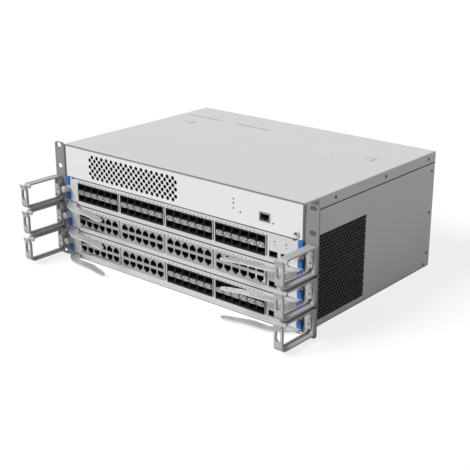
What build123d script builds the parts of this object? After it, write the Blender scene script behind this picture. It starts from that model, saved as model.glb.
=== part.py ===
"""Four-unit rack switch: a sheet metal chassis with three line cards, cable rings and rear modules.

Millimetres. X runs to the right seen from the front, Y to the back and Z up.
The origin lies on the floor under the middle of the whole unit.
Round pieces that repeat, such as pins, bores and knobs, are drawn with a few flats.
"""

import os

from build123d import *

os.makedirs("parts", exist_ok=True)

# Chassis body
RACK_WIDTH = 482.6
EAR_REACH = 20.8
REAR_SPACE = 77.0
SHEET = 1.2
GAP = 0.1
FRONT_RECESS = 2.0
LIP_HEIGHT = 2.6
SKIRT_HEIGHT = 15.5
SEAM = 0.5

# Line cards
CARD_PITCH = 41.0
CARD_BASE = 3.0
CARD_KINDS = (
    ("cage", "cage", "cage", "cage"),
    ("jack", "jack", "jack", "jack"),
    ("jack", "jack", "cage", "cage"),
)
CARD_GAP = 0.2
SHELF_GAP = 0.3
CARD_PLATE = 1.5
CARD_DEPTH = 238.0
PLATE_END = 9.0
TAB_END = 0.9
TAB_LOW = 16.6
TAB_HEIGHT = 11.4
CORNER_CUT_END = 25.5
CORNER_CUT_HEIGHT = 4.0
NOTCH_HEIGHT = 5.0
TRIM_PROUD = 2.0
TRIM_CLEAR = 0.2

# Port blocks
PORT_PITCH = 13.87
PORT_WALL = 0.97
PORT_ROW_END = 55.3
BLOCK_SPACE = 6.58
FIRST_BLOCK_END = 26.7
BLOCK_HEADROOM = 6.6
BLOCK_WALL = 0.8
BLOCK_DEPTH = 46.0
CAGE_LOW = 8.5
CAGE_HEADROOM = 2.3
CAGE_HEIGHT = 7.7
CAGE_POCKET = 40.0
JACK_LOW = 9.4
JACK_HEADROOM = 2.0
JACK_SPACE = 4.67
JACK_NOTCH = 3.6
JACK_HEIGHT = 8.4
JACK_POCKET = 14.0
UPLINK_ENDS = (48.1, 29.5)
UPLINK_LOW = 8.4

# Card pan, board and connectors
PAN_LOW = 2.6
PAN_GRIP = 3.0
PAN_LIP = 7.0
PAN_LIP_LENGTH = 20.0
BOARD_THICKNESS = 1.6
RIB_RISE = 1.2
PAN_RIB_END = 120.5
PAN_RIB_WIDTH = 8.0
PLUG_END = 100.5
PLUG_SIZE = (60.0, 12.0, 12.0)
PLUG_CLEAR = 0.3
AIR_WINDOW_END = 40.5
AIR_WINDOW_CLEAR = 5.4
AIR_WINDOW_TOP = 5.0

# Card guides
GUIDE_REACH = 16.2
GUIDE_START = 40.0
GUIDE_WALL = 1.2
GUIDE_CLEAR = 0.3

# Levers
PIVOT_END = 13.5
PIVOT_DEPTH = 6.0
PIVOT_R = 3.0
PIVOT_SIDES = 8
PIVOT_WALL = 4.0
LEVER_LOW = 0.3
LEVER_THICKNESS = 2.0
HUB_R = 9.0
HUB_SIDES = 8
RUNNING_CLEAR = 0.05
# Lever corners as distance from the pivot towards the middle, and reach in front of the unit
LEVER_FRONT_EDGE = ((-9.5, 0.5), (20.0, 26.0), (38.5, 27.4), (62.0, 29.6), (80.0, 34.3), (93.0, 36.2))
LEVER_TIP = (97.0, 32.5)
LEVER_BACK_EDGE = (
    (94.5, 28.6),
    (87.0, 25.0),
    (70.5, 20.2),
    (56.0, 14.9),
    (24.4, 14.7),
    (17.5, 9.2),
    (10.5, 0.5),
)

# Captive screws
SCREW_END = 4.9
KNOB_R = 4.7
KNOB_LENGTH = 9.0
KNOB_CLEAR = 0.3
KNOB_SIDES = 8
SHANK_R = 2.3
SHANK_HOLE_R = 2.9
SHANK_SIDES = 6
SHANK_REACH = 9.0
FLANGE_WIDTH = 11.5

# Control panel
PANEL_HEIGHT = 47.0
PANEL_END = 2.9
PANEL_RETURN = 12.0
PANEL_TOP_GAP = 0.4
VENT_PITCH = 10.0
VENT_HOLE_R = 3.1
VENT_COLUMNS = 17
VENT_ROWS = 7
VENT_LEFT = 140.0
VENT_DROP = 0.75
STATUS_END = 114.0
STATUS_ABOVE = (18.7, 25.1, 31.1)
LIGHT_R = 1.4
LIGHT_CLEAR = 0.1
SMALL_SIDES = 6
BUTTON_END = 102.3
BUTTON_ABOVE = 15.1
BUTTON_R = 1.1
BUTTON_CLEAR = 0.2
BUTTON_TRAVEL = 0.6
BUTTON_SUNK = 0.4
CONSOLE_END = 62.5
CONSOLE_ABOVE = 17.2
CONSOLE_SIZE = (18.0, 12.6)
CONSOLE_POCKET = (11.8, 6.6)
CONSOLE_KEY = (4.0, 2.0)
CONSOLE_CLEAR = 0.2
CONSOLE_LIGHT_END = 49.0
CONSOLE_LIGHT_ABOVE = 11.6
GROUND_END = 12.2
GROUND_ABOVE = 6.6
GROUND_R = 4.5
GROUND_BARREL_R = 3.4
GROUND_BORE_R = 2.0
GROUND_FLANGE = 2.0
GROUND_NUT = 4.0
GROUND_SIDES = 6
CONTROL_BOARD_DEPTH = 20.0
CONTROL_BOARD_MARGIN = 15.0
PORT_PROUD = 0.4
LIGHT_PROUD = 0.3

# Rack ears
EAR_RISE = 2.0
EAR_SHEET = 2.0
EAR_LEG = 26.0
EAR_SLOT = (10.6, 6.8)
EAR_SLOT_END = 8.75
RACK_HOLES = (5.95, 37.7)
EAR_CORNER = 2.0
EAR_LEG_SHORT = 4.0

# Cable rings
RING_END = 6.9
RING_WIDTH = 12.7
RING_REACH = 71.0
RING_FRONT = 68.75
RING_LOW = 2.6
RING_SPACE = 4.0
BAND_BASE = 2.0
BAND_TOP = 2.1
BAND_BOTTOM = 2.2
BAND_FRONT = 3.6
RING_CORNER = 5.0
RING_MOUTH = 2.4
RING_LIP = 6.0
RING_SLOT_WIDTH = 7.5
RING_SLOT_LOW = 16.2
RING_SLOT_TOP = 7.8
RIB_WIDTH = 3.0
RIB_HEIGHT = 3.6
BOSS_REACH = 7.0
BOSS_Z = 20.4
BOSS_HEIGHT = 14.0

# Side vents
SIDE_VENT_START = 26.0
SIDE_VENT_LENGTH = 112.0
SIDE_VENT_ROWS = 8
SIDE_VENT_WEB = 5.0
SIDE_VENT_LOW = 9.1
SIDE_VENT_TOP = 0.1

# Top cover
TOP_SLOT_LENGTH = 66.0
TOP_SLOT_WIDTH = 2.2
TOP_SLOT_BACK = 57.0
TOP_SLOT_ENDS = (50.0, 150.0)
LOCATOR_END = 50.5
LOCATOR_BACK = 98.0
LOCATOR_SIZE = 10.0
LOCATOR_RISE = 0.8
LOCATOR_SLOPE = 30.0

# Rear modules
HANDLE_REACH = 18.0
POWER_WIDTH = 86.0
POWER_HEADROOM = 7.5
POWER_LENGTH = 200.0
POWER_SPACE = 2.0
POWER_CLEAR = 0.3
INLET_SIZE = (28.0, 20.0)
INLET_POCKET = 16.0
INLET_CORNER = 5.0
INLET_OFFSET = 21.5
BAIL_OFFSET = 31.0
FAN_COUNT = 2
FAN_END = 12.0
FAN_RIM = 7.5
FAN_SIDES = 10
ROTOR_CLEAR = 4.0
ROTOR_HUB_R = 20.0
ROTOR_DEPTH = 24.0
BLADE_COUNT = 7
BLADE_ROOT = 18.0
BLADE_CHORD = 21.6
BLADE_THICKNESS = 1.6
BLADE_LEAN = 38.0
SHAFT_R = 2.5
TRAY_END = 18.5
TRAY_DEPTH = 42.0
TRAY_PLATE_BORDER = 4.0
GUARD_BAR = 5.0
ROTOR_SPACE = 2.4
HANDLE_BAR = 5.0
HANDLE_SPAN = 60.0
HANDLE_WIDTH = 12.0

# Chassis sizes that follow from the sizes above
BODY_WIDTH = RACK_WIDTH - 2 * EAR_REACH
BODY_DEPTH = CARD_DEPTH + REAR_SPACE
HALF = BODY_WIDTH / 2
INNER_HALF = HALF - SHEET
INNER_WIDTH = 2 * (INNER_HALF - GAP)
CARD_COUNT = len(CARD_KINDS)
CARDS = range(1, CARD_COUNT + 1)
ZONE_TOP = CARD_BASE + CARD_COUNT * CARD_PITCH
SHELF_TOP = ZONE_TOP + SHELF_GAP
PANEL_LOW = SHELF_TOP + GAP
PANEL_HIGH = PANEL_LOW + PANEL_HEIGHT
COVER_UNDER = PANEL_HIGH + PANEL_TOP_GAP
BODY_HEIGHT = COVER_UNDER + SHEET
WALL_TOP = BODY_HEIGHT - SKIRT_HEIGHT
JOGGLE_INNER = HALF - 2 * SHEET - GAP
FRONT = (RING_REACH - BODY_DEPTH - HANDLE_REACH) / 2
BACK = FRONT + BODY_DEPTH
GUIDE_INNER = INNER_HALF - GUIDE_REACH
PAN_HALF_WIDTH = GUIDE_INNER + PAN_GRIP
BOARD_HALF_WIDTH = GUIDE_INNER - 2 * GAP
BOARD_LOW = PAN_LOW + SHEET + RIB_RISE
BOARD_TOP = BOARD_LOW + BOARD_THICKNESS
BACKPLANE_DEPTH = CARD_DEPTH + PLUG_SIZE[1]
PAN_DEPTH = CARD_DEPTH - CARD_PLATE - PLUG_SIZE[1]

# Card and port places that follow
PLATE_INNER_WIDTH = BODY_WIDTH - 2 * PLATE_END
TAB_HALF_WIDTH = HALF - TAB_END
CORNER_CUT_INNER = HALF - CORNER_CUT_END
BLOCK_COUNT = len(CARD_KINDS[0])
FIRST_BLOCK_X = FIRST_BLOCK_END - HALF
BLOCK_SHARE = (HALF - PORT_ROW_END - FIRST_BLOCK_X + BLOCK_SPACE) / BLOCK_COUNT
PORTS_IN_ROW = int((BLOCK_SHARE - BLOCK_SPACE) / PORT_PITCH)
BLOCK_PITCH = PORTS_IN_ROW * PORT_PITCH + BLOCK_SPACE
BLOCK_HIGH = CARD_PITCH - BLOCK_HEADROOM
BLOCK_WIDTH = PORTS_IN_ROW * PORT_PITCH + 2 * BLOCK_WALL
CAGE_SIZE = (PORT_PITCH - PORT_WALL, CAGE_HEIGHT)
CAGE_ROWS = (CAGE_LOW, BLOCK_HIGH - CAGE_HEADROOM - CAGE_HEIGHT)
JACK_WIDTH = PORT_PITCH - JACK_SPACE
JACK_ROWS = (JACK_LOW, BLOCK_HIGH - JACK_HEADROOM - JACK_HEIGHT)
UPLINK_X = tuple(HALF - end for end in UPLINK_ENDS)
UPLINK_WIDTH = CAGE_SIZE[0] + 2 * BLOCK_WALL
UPLINK_HIGH = UPLINK_LOW + CAGE_SIZE[1] + BLOCK_WALL
PAN_RIB_X = HALF - PAN_RIB_END
PLUG_X = (PLUG_END - HALF, HALF - PLUG_END)
AIR_WINDOW_LOW = BOARD_TOP + PLUG_SIZE[2] + AIR_WINDOW_CLEAR
AIR_WINDOW_HIGH = CARD_PITCH - AIR_WINDOW_TOP
PIVOT_X = HALF - PIVOT_END
SCREW_X = HALF - SCREW_END
SCREW_Z = TAB_LOW + TAB_HEIGHT / 2
FLANGE_INNER = HALF - FLANGE_WIDTH
LEVER_OUTLINE = LEVER_FRONT_EDGE + (LEVER_TIP,) + LEVER_BACK_EDGE + ((0.0, -PIVOT_DEPTH),)

# Places on the front, the ears and the walls that follow
PANEL_WIDTH = BODY_WIDTH - 2 * PANEL_END
VENT_CENTRE_X = VENT_LEFT - HALF
VENT_CENTRE_ABOVE = PANEL_HEIGHT / 2 - VENT_DROP
STATUS_X = HALF - STATUS_END
BUTTON_X = HALF - BUTTON_END
CONSOLE_X = HALF - CONSOLE_END
CONSOLE_LIGHT_X = HALF - CONSOLE_LIGHT_END
GROUND_X = HALF - GROUND_END
EAR_HEIGHT = BODY_HEIGHT + EAR_RISE
EAR_SLOT_X = RACK_WIDTH / 2 - EAR_SLOT_END
RING_X = RACK_WIDTH / 2 - RING_END
RING_HEIGHT = CARD_PITCH - RING_SPACE
RING_SLOT_HIGH = RING_LOW + RING_HEIGHT - RING_SLOT_TOP
SIDE_VENT_PITCH = (ZONE_TOP - SIDE_VENT_LOW - SIDE_VENT_TOP) / SIDE_VENT_ROWS
SIDE_VENT_MIDDLE = (ZONE_TOP + SIDE_VENT_LOW - SIDE_VENT_TOP) / 2
TOP_SLOT_X = tuple(end - HALF for end in TOP_SLOT_ENDS)
LOCATOR_X = HALF - LOCATOR_END

# Places at the back that follow
REAR_FACE = BODY_DEPTH - SHEET
POWER_HEIGHT = COVER_UNDER - SHELF_TOP - POWER_HEADROOM
POWER_PITCH = POWER_WIDTH + POWER_SPACE
BAIL_SPAN = POWER_HEIGHT - HANDLE_BAR
TRAY_WIDTH = BODY_WIDTH - 2 * TRAY_END
TRAY_LOW = SHEET + GUIDE_CLEAR
TRAY_HIGH = ZONE_TOP - SHEET - GUIDE_CLEAR
FAN_PITCH = (TRAY_WIDTH - 2 * FAN_END) / FAN_COUNT
FAN_R = (TRAY_HIGH - TRAY_LOW) / 2 - FAN_RIM
ROTOR_R = FAN_R - ROTOR_CLEAR
SIDES = {"left": -1, "right": 1}


def facing(depth):
    """Vertical plane across the unit, depth behind the front plane; extrude by minus to go back."""
    return Plane.XZ.offset(-(FRONT + depth))


def card_low(card):
    """Bottom of a card's space; card 1 is the top one."""
    return CARD_BASE + (CARD_COUNT - card) * CARD_PITCH


def block_lefts():
    """Left edges of the first ports of the four blocks."""
    return [FIRST_BLOCK_X + block * BLOCK_PITCH for block in range(BLOCK_COUNT)]


def write(node, label):
    """Labels a finished piece and writes it under its own name."""
    node.part.label = label
    export_step(node.part, f"parts/{label}.step")


def chassis_tub():
    """Floor, two walls with a joggled upper strip, notched front flanges and the side air slots."""
    strip_top = COVER_UNDER - SHEET
    flange_top = SHELF_TOP - SHEET - GAP
    with BuildPart() as tub:
        with BuildSketch(facing(FRONT_RECESS)):
            with Locations((0, WALL_TOP / 2)):
                Rectangle(BODY_WIDTH, WALL_TOP)
            with Locations((0, SHEET + WALL_TOP / 2)):
                Rectangle(2 * INNER_HALF, WALL_TOP, mode=Mode.SUBTRACT)
            for side in SIDES.values():
                with Locations((side * JOGGLE_INNER, WALL_TOP - SHEET)):
                    Rectangle(SHEET, strip_top - WALL_TOP + SHEET, align=(outward(side), Align.MIN))
                    Rectangle(HALF - JOGGLE_INNER, SHEET, align=(outward(side), Align.MIN))
        extrude(amount=-(BODY_DEPTH - FRONT_RECESS))
        with BuildSketch(facing(0)):
            Rectangle(BODY_WIDTH, SHEET, align=(Align.CENTER, Align.MIN))
        extrude(amount=-FRONT_RECESS)
        with BuildSketch(facing(0)):
            Rectangle(BODY_WIDTH, LIP_HEIGHT, align=(Align.CENTER, Align.MIN))
        extrude(amount=-SHEET)
        with BuildSketch(facing(FRONT_RECESS)):
            for side in SIDES.values():
                with Locations((side * FLANGE_INNER, SHEET / 2)):
                    Rectangle(
                        HALF - SHEET / 2 - FLANGE_INNER,
                        flange_top - SHEET / 2,
                        align=(outward(side), Align.MIN),
                    )
                for card in CARDS:
                    low = card_low(card)
                    with Locations((side * FLANGE_INNER, low)):
                        Rectangle(
                            INNER_HALF - FLANGE_INNER,
                            NOTCH_HEIGHT,
                            align=(outward(side), Align.MIN),
                            mode=Mode.SUBTRACT,
                        )
                    with Locations((side * SCREW_X, low + SCREW_Z)):
                        RegularPolygon(SHANK_HOLE_R, SHANK_SIDES, mode=Mode.SUBTRACT)
        extrude(amount=-SHEET)
        with BuildSketch(Plane.YZ.offset(-HALF - SHEET)):
            with Locations((FRONT + SIDE_VENT_START + SIDE_VENT_LENGTH / 2, SIDE_VENT_MIDDLE)):
                with GridLocations(1, SIDE_VENT_PITCH, 1, SIDE_VENT_ROWS):
                    Rectangle(SIDE_VENT_LENGTH, SIDE_VENT_PITCH - SIDE_VENT_WEB)
        extrude(amount=BODY_WIDTH + 2 * SHEET, mode=Mode.SUBTRACT)
    return tub


def outward(side):
    """Alignment that grows a shape away from the middle of the unit on either side."""
    return Align.MIN if side > 0 else Align.MAX


def top_cover():
    """Lid with two side skirts, ventilation slots and two raised locators."""
    with BuildPart() as cover:
        with BuildSketch(facing(0)):
            with Locations((0, BODY_HEIGHT)):
                Rectangle(BODY_WIDTH, SKIRT_HEIGHT - SEAM, align=(Align.CENTER, Align.MAX))
            with Locations((0, COVER_UNDER)):
                Rectangle(
                    2 * INNER_HALF,
                    SKIRT_HEIGHT,
                    align=(Align.CENTER, Align.MAX),
                    mode=Mode.SUBTRACT,
                )
        extrude(amount=-BODY_DEPTH)
        with BuildSketch(Plane.XY.offset(COVER_UNDER)):
            for x in TOP_SLOT_X:
                with Locations((x, BACK - TOP_SLOT_BACK)):
                    Rectangle(TOP_SLOT_LENGTH, TOP_SLOT_WIDTH)
        extrude(amount=SHEET, mode=Mode.SUBTRACT)
        with BuildSketch(Plane.XY.offset(BODY_HEIGHT)):
            for side in SIDES.values():
                with Locations((side * LOCATOR_X, BACK - LOCATOR_BACK)):
                    RegularPolygon(LOCATOR_SIZE, 3, rotation=180)
        extrude(amount=LOCATOR_RISE, taper=LOCATOR_SLOPE)
    return cover


def control_panel():
    """Folded front panel over the cards, with the staggered intake holes and the control openings."""
    with BuildPart() as panel:
        with BuildSketch(facing(0)):
            with Locations((0, PANEL_LOW)):
                Rectangle(PANEL_WIDTH, PANEL_HIGH - PANEL_LOW, align=(Align.CENTER, Align.MIN))
        extrude(amount=-PANEL_RETURN)
        with BuildSketch(facing(SHEET)):
            with Locations((0, PANEL_LOW + SHEET)):
                Rectangle(
                    PANEL_WIDTH - 2 * SHEET,
                    PANEL_HIGH - PANEL_LOW - 2 * SHEET,
                    align=(Align.CENTER, Align.MIN),
                )
        extrude(amount=-PANEL_RETURN, mode=Mode.SUBTRACT)
        with BuildSketch(facing(0)):
            with Locations((VENT_CENTRE_X, PANEL_LOW + VENT_CENTRE_ABOVE)):
                with GridLocations(VENT_PITCH, VENT_PITCH, VENT_COLUMNS, (VENT_ROWS + 1) // 2):
                    RegularPolygon(VENT_HOLE_R, 4)
                with GridLocations(VENT_PITCH, VENT_PITCH, VENT_COLUMNS + 1, VENT_ROWS // 2):
                    RegularPolygon(VENT_HOLE_R, 4)
            with Locations(*light_places()):
                RegularPolygon(LIGHT_R + LIGHT_CLEAR, SMALL_SIDES)
            with Locations((BUTTON_X, PANEL_LOW + BUTTON_ABOVE)):
                RegularPolygon(BUTTON_R + BUTTON_CLEAR, SMALL_SIDES)
            with Locations((CONSOLE_X, PANEL_LOW + CONSOLE_ABOVE)):
                Rectangle(CONSOLE_SIZE[0] + 2 * CONSOLE_CLEAR, CONSOLE_SIZE[1] + 2 * CONSOLE_CLEAR)
            with Locations((GROUND_X, PANEL_LOW + GROUND_ABOVE)):
                RegularPolygon(GROUND_BARREL_R + GAP, GROUND_SIDES)
        extrude(amount=-SHEET, mode=Mode.SUBTRACT)
    return panel


def light_places():
    """Centres of the status lights and of the console light on the control panel."""
    status = [(STATUS_X, PANEL_LOW + above) for above in STATUS_ABOVE]
    return status + [(CONSOLE_LIGHT_X, PANEL_LOW + CONSOLE_LIGHT_ABOVE)]


def control_board():
    """Upright board behind the control panel, standing on the shelf."""
    with BuildPart() as board:
        with BuildSketch(facing(CONTROL_BOARD_DEPTH)):
            with Locations(((CONSOLE_LIGHT_X + STATUS_X) / 2, SHELF_TOP)):
                Rectangle(
                    CONSOLE_LIGHT_X - STATUS_X + 2 * CONTROL_BOARD_MARGIN,
                    PANEL_HIGH - PANEL_LOW - 2 * SHEET,
                    align=(Align.CENTER, Align.MIN),
                )
        extrude(amount=-BOARD_THICKNESS)
    return board


def console_port():
    """Shielded console jack with a keyed pocket, from the board out through the panel."""
    pocket_low = PANEL_LOW + CONSOLE_ABOVE - (CONSOLE_POCKET[1] + CONSOLE_KEY[1]) / 2
    with BuildPart() as jack:
        with BuildSketch(facing(-PORT_PROUD)):
            with Locations((CONSOLE_X, PANEL_LOW + CONSOLE_ABOVE)):
                Rectangle(*CONSOLE_SIZE)
        extrude(amount=-(CONTROL_BOARD_DEPTH + PORT_PROUD))
        with BuildSketch(facing(-PORT_PROUD)):
            with Locations((CONSOLE_X, pocket_low)):
                Rectangle(*CONSOLE_POCKET, align=(Align.CENTER, Align.MIN))
                Rectangle(*CONSOLE_KEY, align=(Align.CENTER, Align.MAX))
        extrude(amount=-JACK_POCKET, mode=Mode.SUBTRACT)
    return jack


def ground_jack():
    """Turned grounding socket with a flange outside the panel and a nut behind it."""
    centre = (GROUND_X, PANEL_LOW + GROUND_ABOVE)
    with BuildPart() as jack:
        with BuildSketch(facing(-GROUND_FLANGE)):
            with Locations(centre):
                RegularPolygon(GROUND_R, GROUND_SIDES)
        extrude(amount=-GROUND_FLANGE)
        with BuildSketch(facing(0)):
            with Locations(centre):
                RegularPolygon(GROUND_BARREL_R, GROUND_SIDES)
        extrude(amount=-PANEL_RETURN)
        with BuildSketch(facing(SHEET)):
            with Locations(centre):
                RegularPolygon(GROUND_R, SMALL_SIDES)
        extrude(amount=-GROUND_NUT)
        with BuildSketch(facing(-GROUND_FLANGE)):
            with Locations(centre):
                RegularPolygon(GROUND_BORE_R, GROUND_SIDES)
        extrude(amount=-PANEL_RETURN, mode=Mode.SUBTRACT)
    return jack


def status_lights():
    """Light pipes from the board to just proud of the panel."""
    with BuildPart() as pipes:
        with BuildSketch(facing(-LIGHT_PROUD)):
            with Locations(*light_places()):
                RegularPolygon(LIGHT_R, SMALL_SIDES)
        extrude(amount=-(CONTROL_BOARD_DEPTH + LIGHT_PROUD))
    return pipes


def reset_button():
    """Pin that is pushed in through the panel, with its travel left in front of the board."""
    with BuildPart() as button:
        with BuildSketch(facing(BUTTON_SUNK)):
            with Locations((BUTTON_X, PANEL_LOW + BUTTON_ABOVE)):
                RegularPolygon(BUTTON_R, SMALL_SIDES)
        extrude(amount=-(CONTROL_BOARD_DEPTH - BUTTON_SUNK - BUTTON_TRAVEL - GAP))
    return button


def rack_ear(side):
    """Angle with four rack slots, the upper two for the rack's screws; its leg lies on the wall."""
    inner = HALF + GAP
    with BuildPart() as ear:
        with BuildSketch(facing(0)):
            with Locations((side * inner, 0)):
                Rectangle(RACK_WIDTH / 2 - inner, EAR_HEIGHT, align=(outward(side), Align.MIN))
        extrude(amount=-EAR_SHEET)
        chamfer(ear.edges().filter_by(Axis.Y).group_by(Axis.X)[-1 if side > 0 else 0], EAR_CORNER)
        with BuildSketch(facing(0)):
            with Locations((side * inner, 0)):
                Rectangle(EAR_SHEET, EAR_HEIGHT - EAR_LEG_SHORT, align=(outward(side), Align.MIN))
        extrude(amount=-EAR_LEG)
        with BuildSketch(facing(0)):
            for from_end in RACK_HOLES:
                with Locations((side * EAR_SLOT_X, EAR_HEIGHT - from_end)):
                    SlotOverall(*EAR_SLOT)
                with Locations((side * EAR_SLOT_X, from_end)):
                    Rectangle(*EAR_SLOT)
        extrude(amount=-EAR_SHEET, mode=Mode.SUBTRACT)
    return ear


def cable_ring(side, card):
    """Open loop for cables: a broad band with a rib inside, a strap slot and a gap at its top front."""
    low = card_low(card) + RING_LOW
    high = low + RING_HEIGHT
    front = FRONT - RING_FRONT
    lip = front + BAND_FRONT + RING_MOUTH
    horn_low = high - RING_LIP
    boss_middle = card_low(card) + BOSS_Z
    centre = Plane.YZ.offset(side * RING_X)
    with BuildPart() as ring:
        with BuildSketch(centre):
            with Locations((front, low)):
                Rectangle(RING_FRONT, RING_HEIGHT, align=Align.MIN)
        extrude(amount=RING_WIDTH / 2, both=True)
        chamfer(ring.edges().filter_by(Axis.X).group_by(Axis.Z)[0], RING_CORNER)
        chamfer(ring.edges().filter_by(Axis.X).group_by(Axis.Z)[-1].sort_by(Axis.Y)[-1], RING_CORNER / 2)
        with BuildSketch(centre):
            with Locations((front + BAND_FRONT, low + BAND_BOTTOM)):
                Rectangle(
                    RING_FRONT - BAND_FRONT - BAND_BASE,
                    RING_HEIGHT - BAND_BOTTOM - BAND_TOP,
                    align=Align.MIN,
                )
            chamfer_points = vertices().group_by(Axis.Y)[0]
            chamfer(chamfer_points, RING_CORNER / 2)
            with Locations((front, horn_low)):
                Rectangle(lip - front, RING_LIP, align=Align.MIN)
        extrude(amount=RING_WIDTH, both=True, mode=Mode.SUBTRACT)
        with BuildSketch(centre):
            with Locations((lip, high)):
                Rectangle(BAND_TOP, RING_LIP, align=(Align.MIN, Align.MAX))
            Polygon(
                (front, horn_low),
                (front + BAND_FRONT, horn_low),
                (FRONT - RING_REACH + BAND_FRONT / 2, high),
                (FRONT - RING_REACH, high),
                align=None,
            )
            with Locations((FRONT - BAND_BASE, boss_middle)):
                Rectangle(BOSS_REACH - BAND_BASE, BOSS_HEIGHT, align=(Align.MAX, Align.CENTER))
        extrude(amount=RING_WIDTH / 2, both=True)
        with BuildSketch(centre):
            Polygon(
                (front + BAND_FRONT, low + BAND_BOTTOM),
                (FRONT - BAND_BASE - RING_CORNER / 2, low + BAND_BOTTOM),
                (FRONT - BAND_BASE, low + BAND_BOTTOM + RING_CORNER / 2),
                (FRONT - BAND_BASE, boss_middle - BOSS_HEIGHT / 2),
                (FRONT - BOSS_REACH, boss_middle - BOSS_HEIGHT / 2),
                (FRONT - BOSS_REACH - RIB_HEIGHT, low + BAND_BOTTOM + RIB_HEIGHT),
                (front + BAND_FRONT, low + BAND_BOTTOM + RIB_HEIGHT),
                align=None,
            )
        extrude(amount=RIB_WIDTH / 2, both=True)
        with BuildSketch(facing(-RING_REACH)):
            with Locations((side * RING_X, card_low(card) + RING_SLOT_LOW)):
                Rectangle(RING_SLOT_WIDTH, RING_SLOT_HIGH - RING_SLOT_LOW, align=(Align.CENTER, Align.MIN))
        extrude(amount=-(BAND_FRONT + RING_REACH - RING_FRONT), mode=Mode.SUBTRACT)
    return ring


def shelf():
    """Sheet between the cards and the power zone."""
    with BuildPart() as sheet:
        with BuildSketch(Plane.XY.offset(SHELF_TOP)):
            with Locations((0, FRONT + FRONT_RECESS)):
                Rectangle(INNER_WIDTH, REAR_FACE - FRONT_RECESS, align=(Align.CENTER, Align.MIN))
        extrude(amount=-SHEET)
    return sheet


def card_guides():
    """Channels on both walls that carry the edges of each card's pan."""
    channel = SHEET + 2 * GUIDE_CLEAR
    with BuildPart() as guides:
        with BuildSketch(facing(GUIDE_START)):
            for card in CARDS:
                channel_low = card_low(card) + PAN_LOW - GUIDE_CLEAR
                for side in SIDES.values():
                    with Locations((side * GUIDE_INNER, channel_low - GUIDE_WALL)):
                        Rectangle(
                            GUIDE_REACH - GAP,
                            channel + 2 * GUIDE_WALL,
                            align=(outward(side), Align.MIN),
                        )
                    with Locations((side * GUIDE_INNER, channel_low)):
                        Rectangle(
                            PAN_GRIP + GUIDE_CLEAR,
                            channel,
                            align=(outward(side), Align.MIN),
                            mode=Mode.SUBTRACT,
                        )
        extrude(amount=-(BACKPLANE_DEPTH - GUIDE_START))
    return guides


def backplane():
    """Upright board that the cards plug into, with air openings over the sockets."""
    with BuildPart() as board:
        with BuildSketch(facing(BACKPLANE_DEPTH)):
            with Locations((0, SHEET)):
                Rectangle(INNER_WIDTH, SHELF_TOP - 2 * SHEET - GAP, align=(Align.CENTER, Align.MIN))
            for card in CARDS:
                with Locations((0, card_low(card) + AIR_WINDOW_LOW)):
                    Rectangle(
                        BODY_WIDTH - 2 * AIR_WINDOW_END,
                        AIR_WINDOW_HIGH - AIR_WINDOW_LOW,
                        align=(Align.CENTER, Align.MIN),
                        mode=Mode.SUBTRACT,
                    )
        extrude(amount=-BOARD_THICKNESS)
    return board


def connector_faces(card):
    """Ends of one card's row of connector housings, drawn into the current sketch."""
    for x in PLUG_X:
        with Locations((x, card_low(card) + BOARD_TOP)):
            Rectangle(PLUG_SIZE[0], PLUG_SIZE[2], align=(Align.CENTER, Align.MIN))


def backplane_sockets():
    """Housings on the backplane that meet each card's plugs."""
    with BuildPart() as sockets:
        with BuildSketch(facing(CARD_DEPTH + PLUG_CLEAR)):
            for card in CARDS:
                connector_faces(card)
        extrude(amount=-(PLUG_SIZE[1] - PLUG_CLEAR))
    return sockets


def card_plugs(card):
    """Row of connector housings on the back edge of a card's board."""
    with BuildPart() as plugs:
        with BuildSketch(facing(CARD_DEPTH - PLUG_SIZE[1])):
            connector_faces(card)
        extrude(amount=-PLUG_SIZE[1])
    return plugs


def card_faceplate(card):
    """Card front with port openings, a screw tab at each end and cut corners for the levers."""
    low = card_low(card)
    with BuildPart() as plate:
        with BuildSketch(facing(0)):
            with Locations((0, low + CARD_GAP)):
                Rectangle(PLATE_INNER_WIDTH, CARD_PITCH - 2 * CARD_GAP, align=(Align.CENTER, Align.MIN))
            with Locations((0, low + TAB_LOW)):
                Rectangle(2 * TAB_HALF_WIDTH, TAB_HEIGHT, align=(Align.CENTER, Align.MIN))
            for side in SIDES.values():
                with Locations((side * CORNER_CUT_INNER, low)):
                    Rectangle(
                        TAB_HALF_WIDTH,
                        CORNER_CUT_HEIGHT,
                        align=(outward(side), Align.MIN),
                        mode=Mode.SUBTRACT,
                    )
                with Locations((side * SCREW_X, low + SCREW_Z)):
                    RegularPolygon(SHANK_HOLE_R, SHANK_SIDES, mode=Mode.SUBTRACT)
            for left in block_lefts():
                with Locations((left - BLOCK_WALL - GAP, low + BOARD_TOP - GAP)):
                    Rectangle(
                        BLOCK_WIDTH + 2 * GAP,
                        BLOCK_HIGH - BOARD_TOP + 2 * GAP,
                        align=Align.MIN,
                        mode=Mode.SUBTRACT,
                    )
            for x in UPLINK_X:
                with Locations((x, low + BOARD_TOP - GAP)):
                    Rectangle(
                        UPLINK_WIDTH + 2 * GAP,
                        UPLINK_HIGH - BOARD_TOP + 2 * GAP,
                        align=(Align.CENTER, Align.MIN),
                        mode=Mode.SUBTRACT,
                    )
        extrude(amount=-CARD_PLATE)
    return plate


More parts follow.
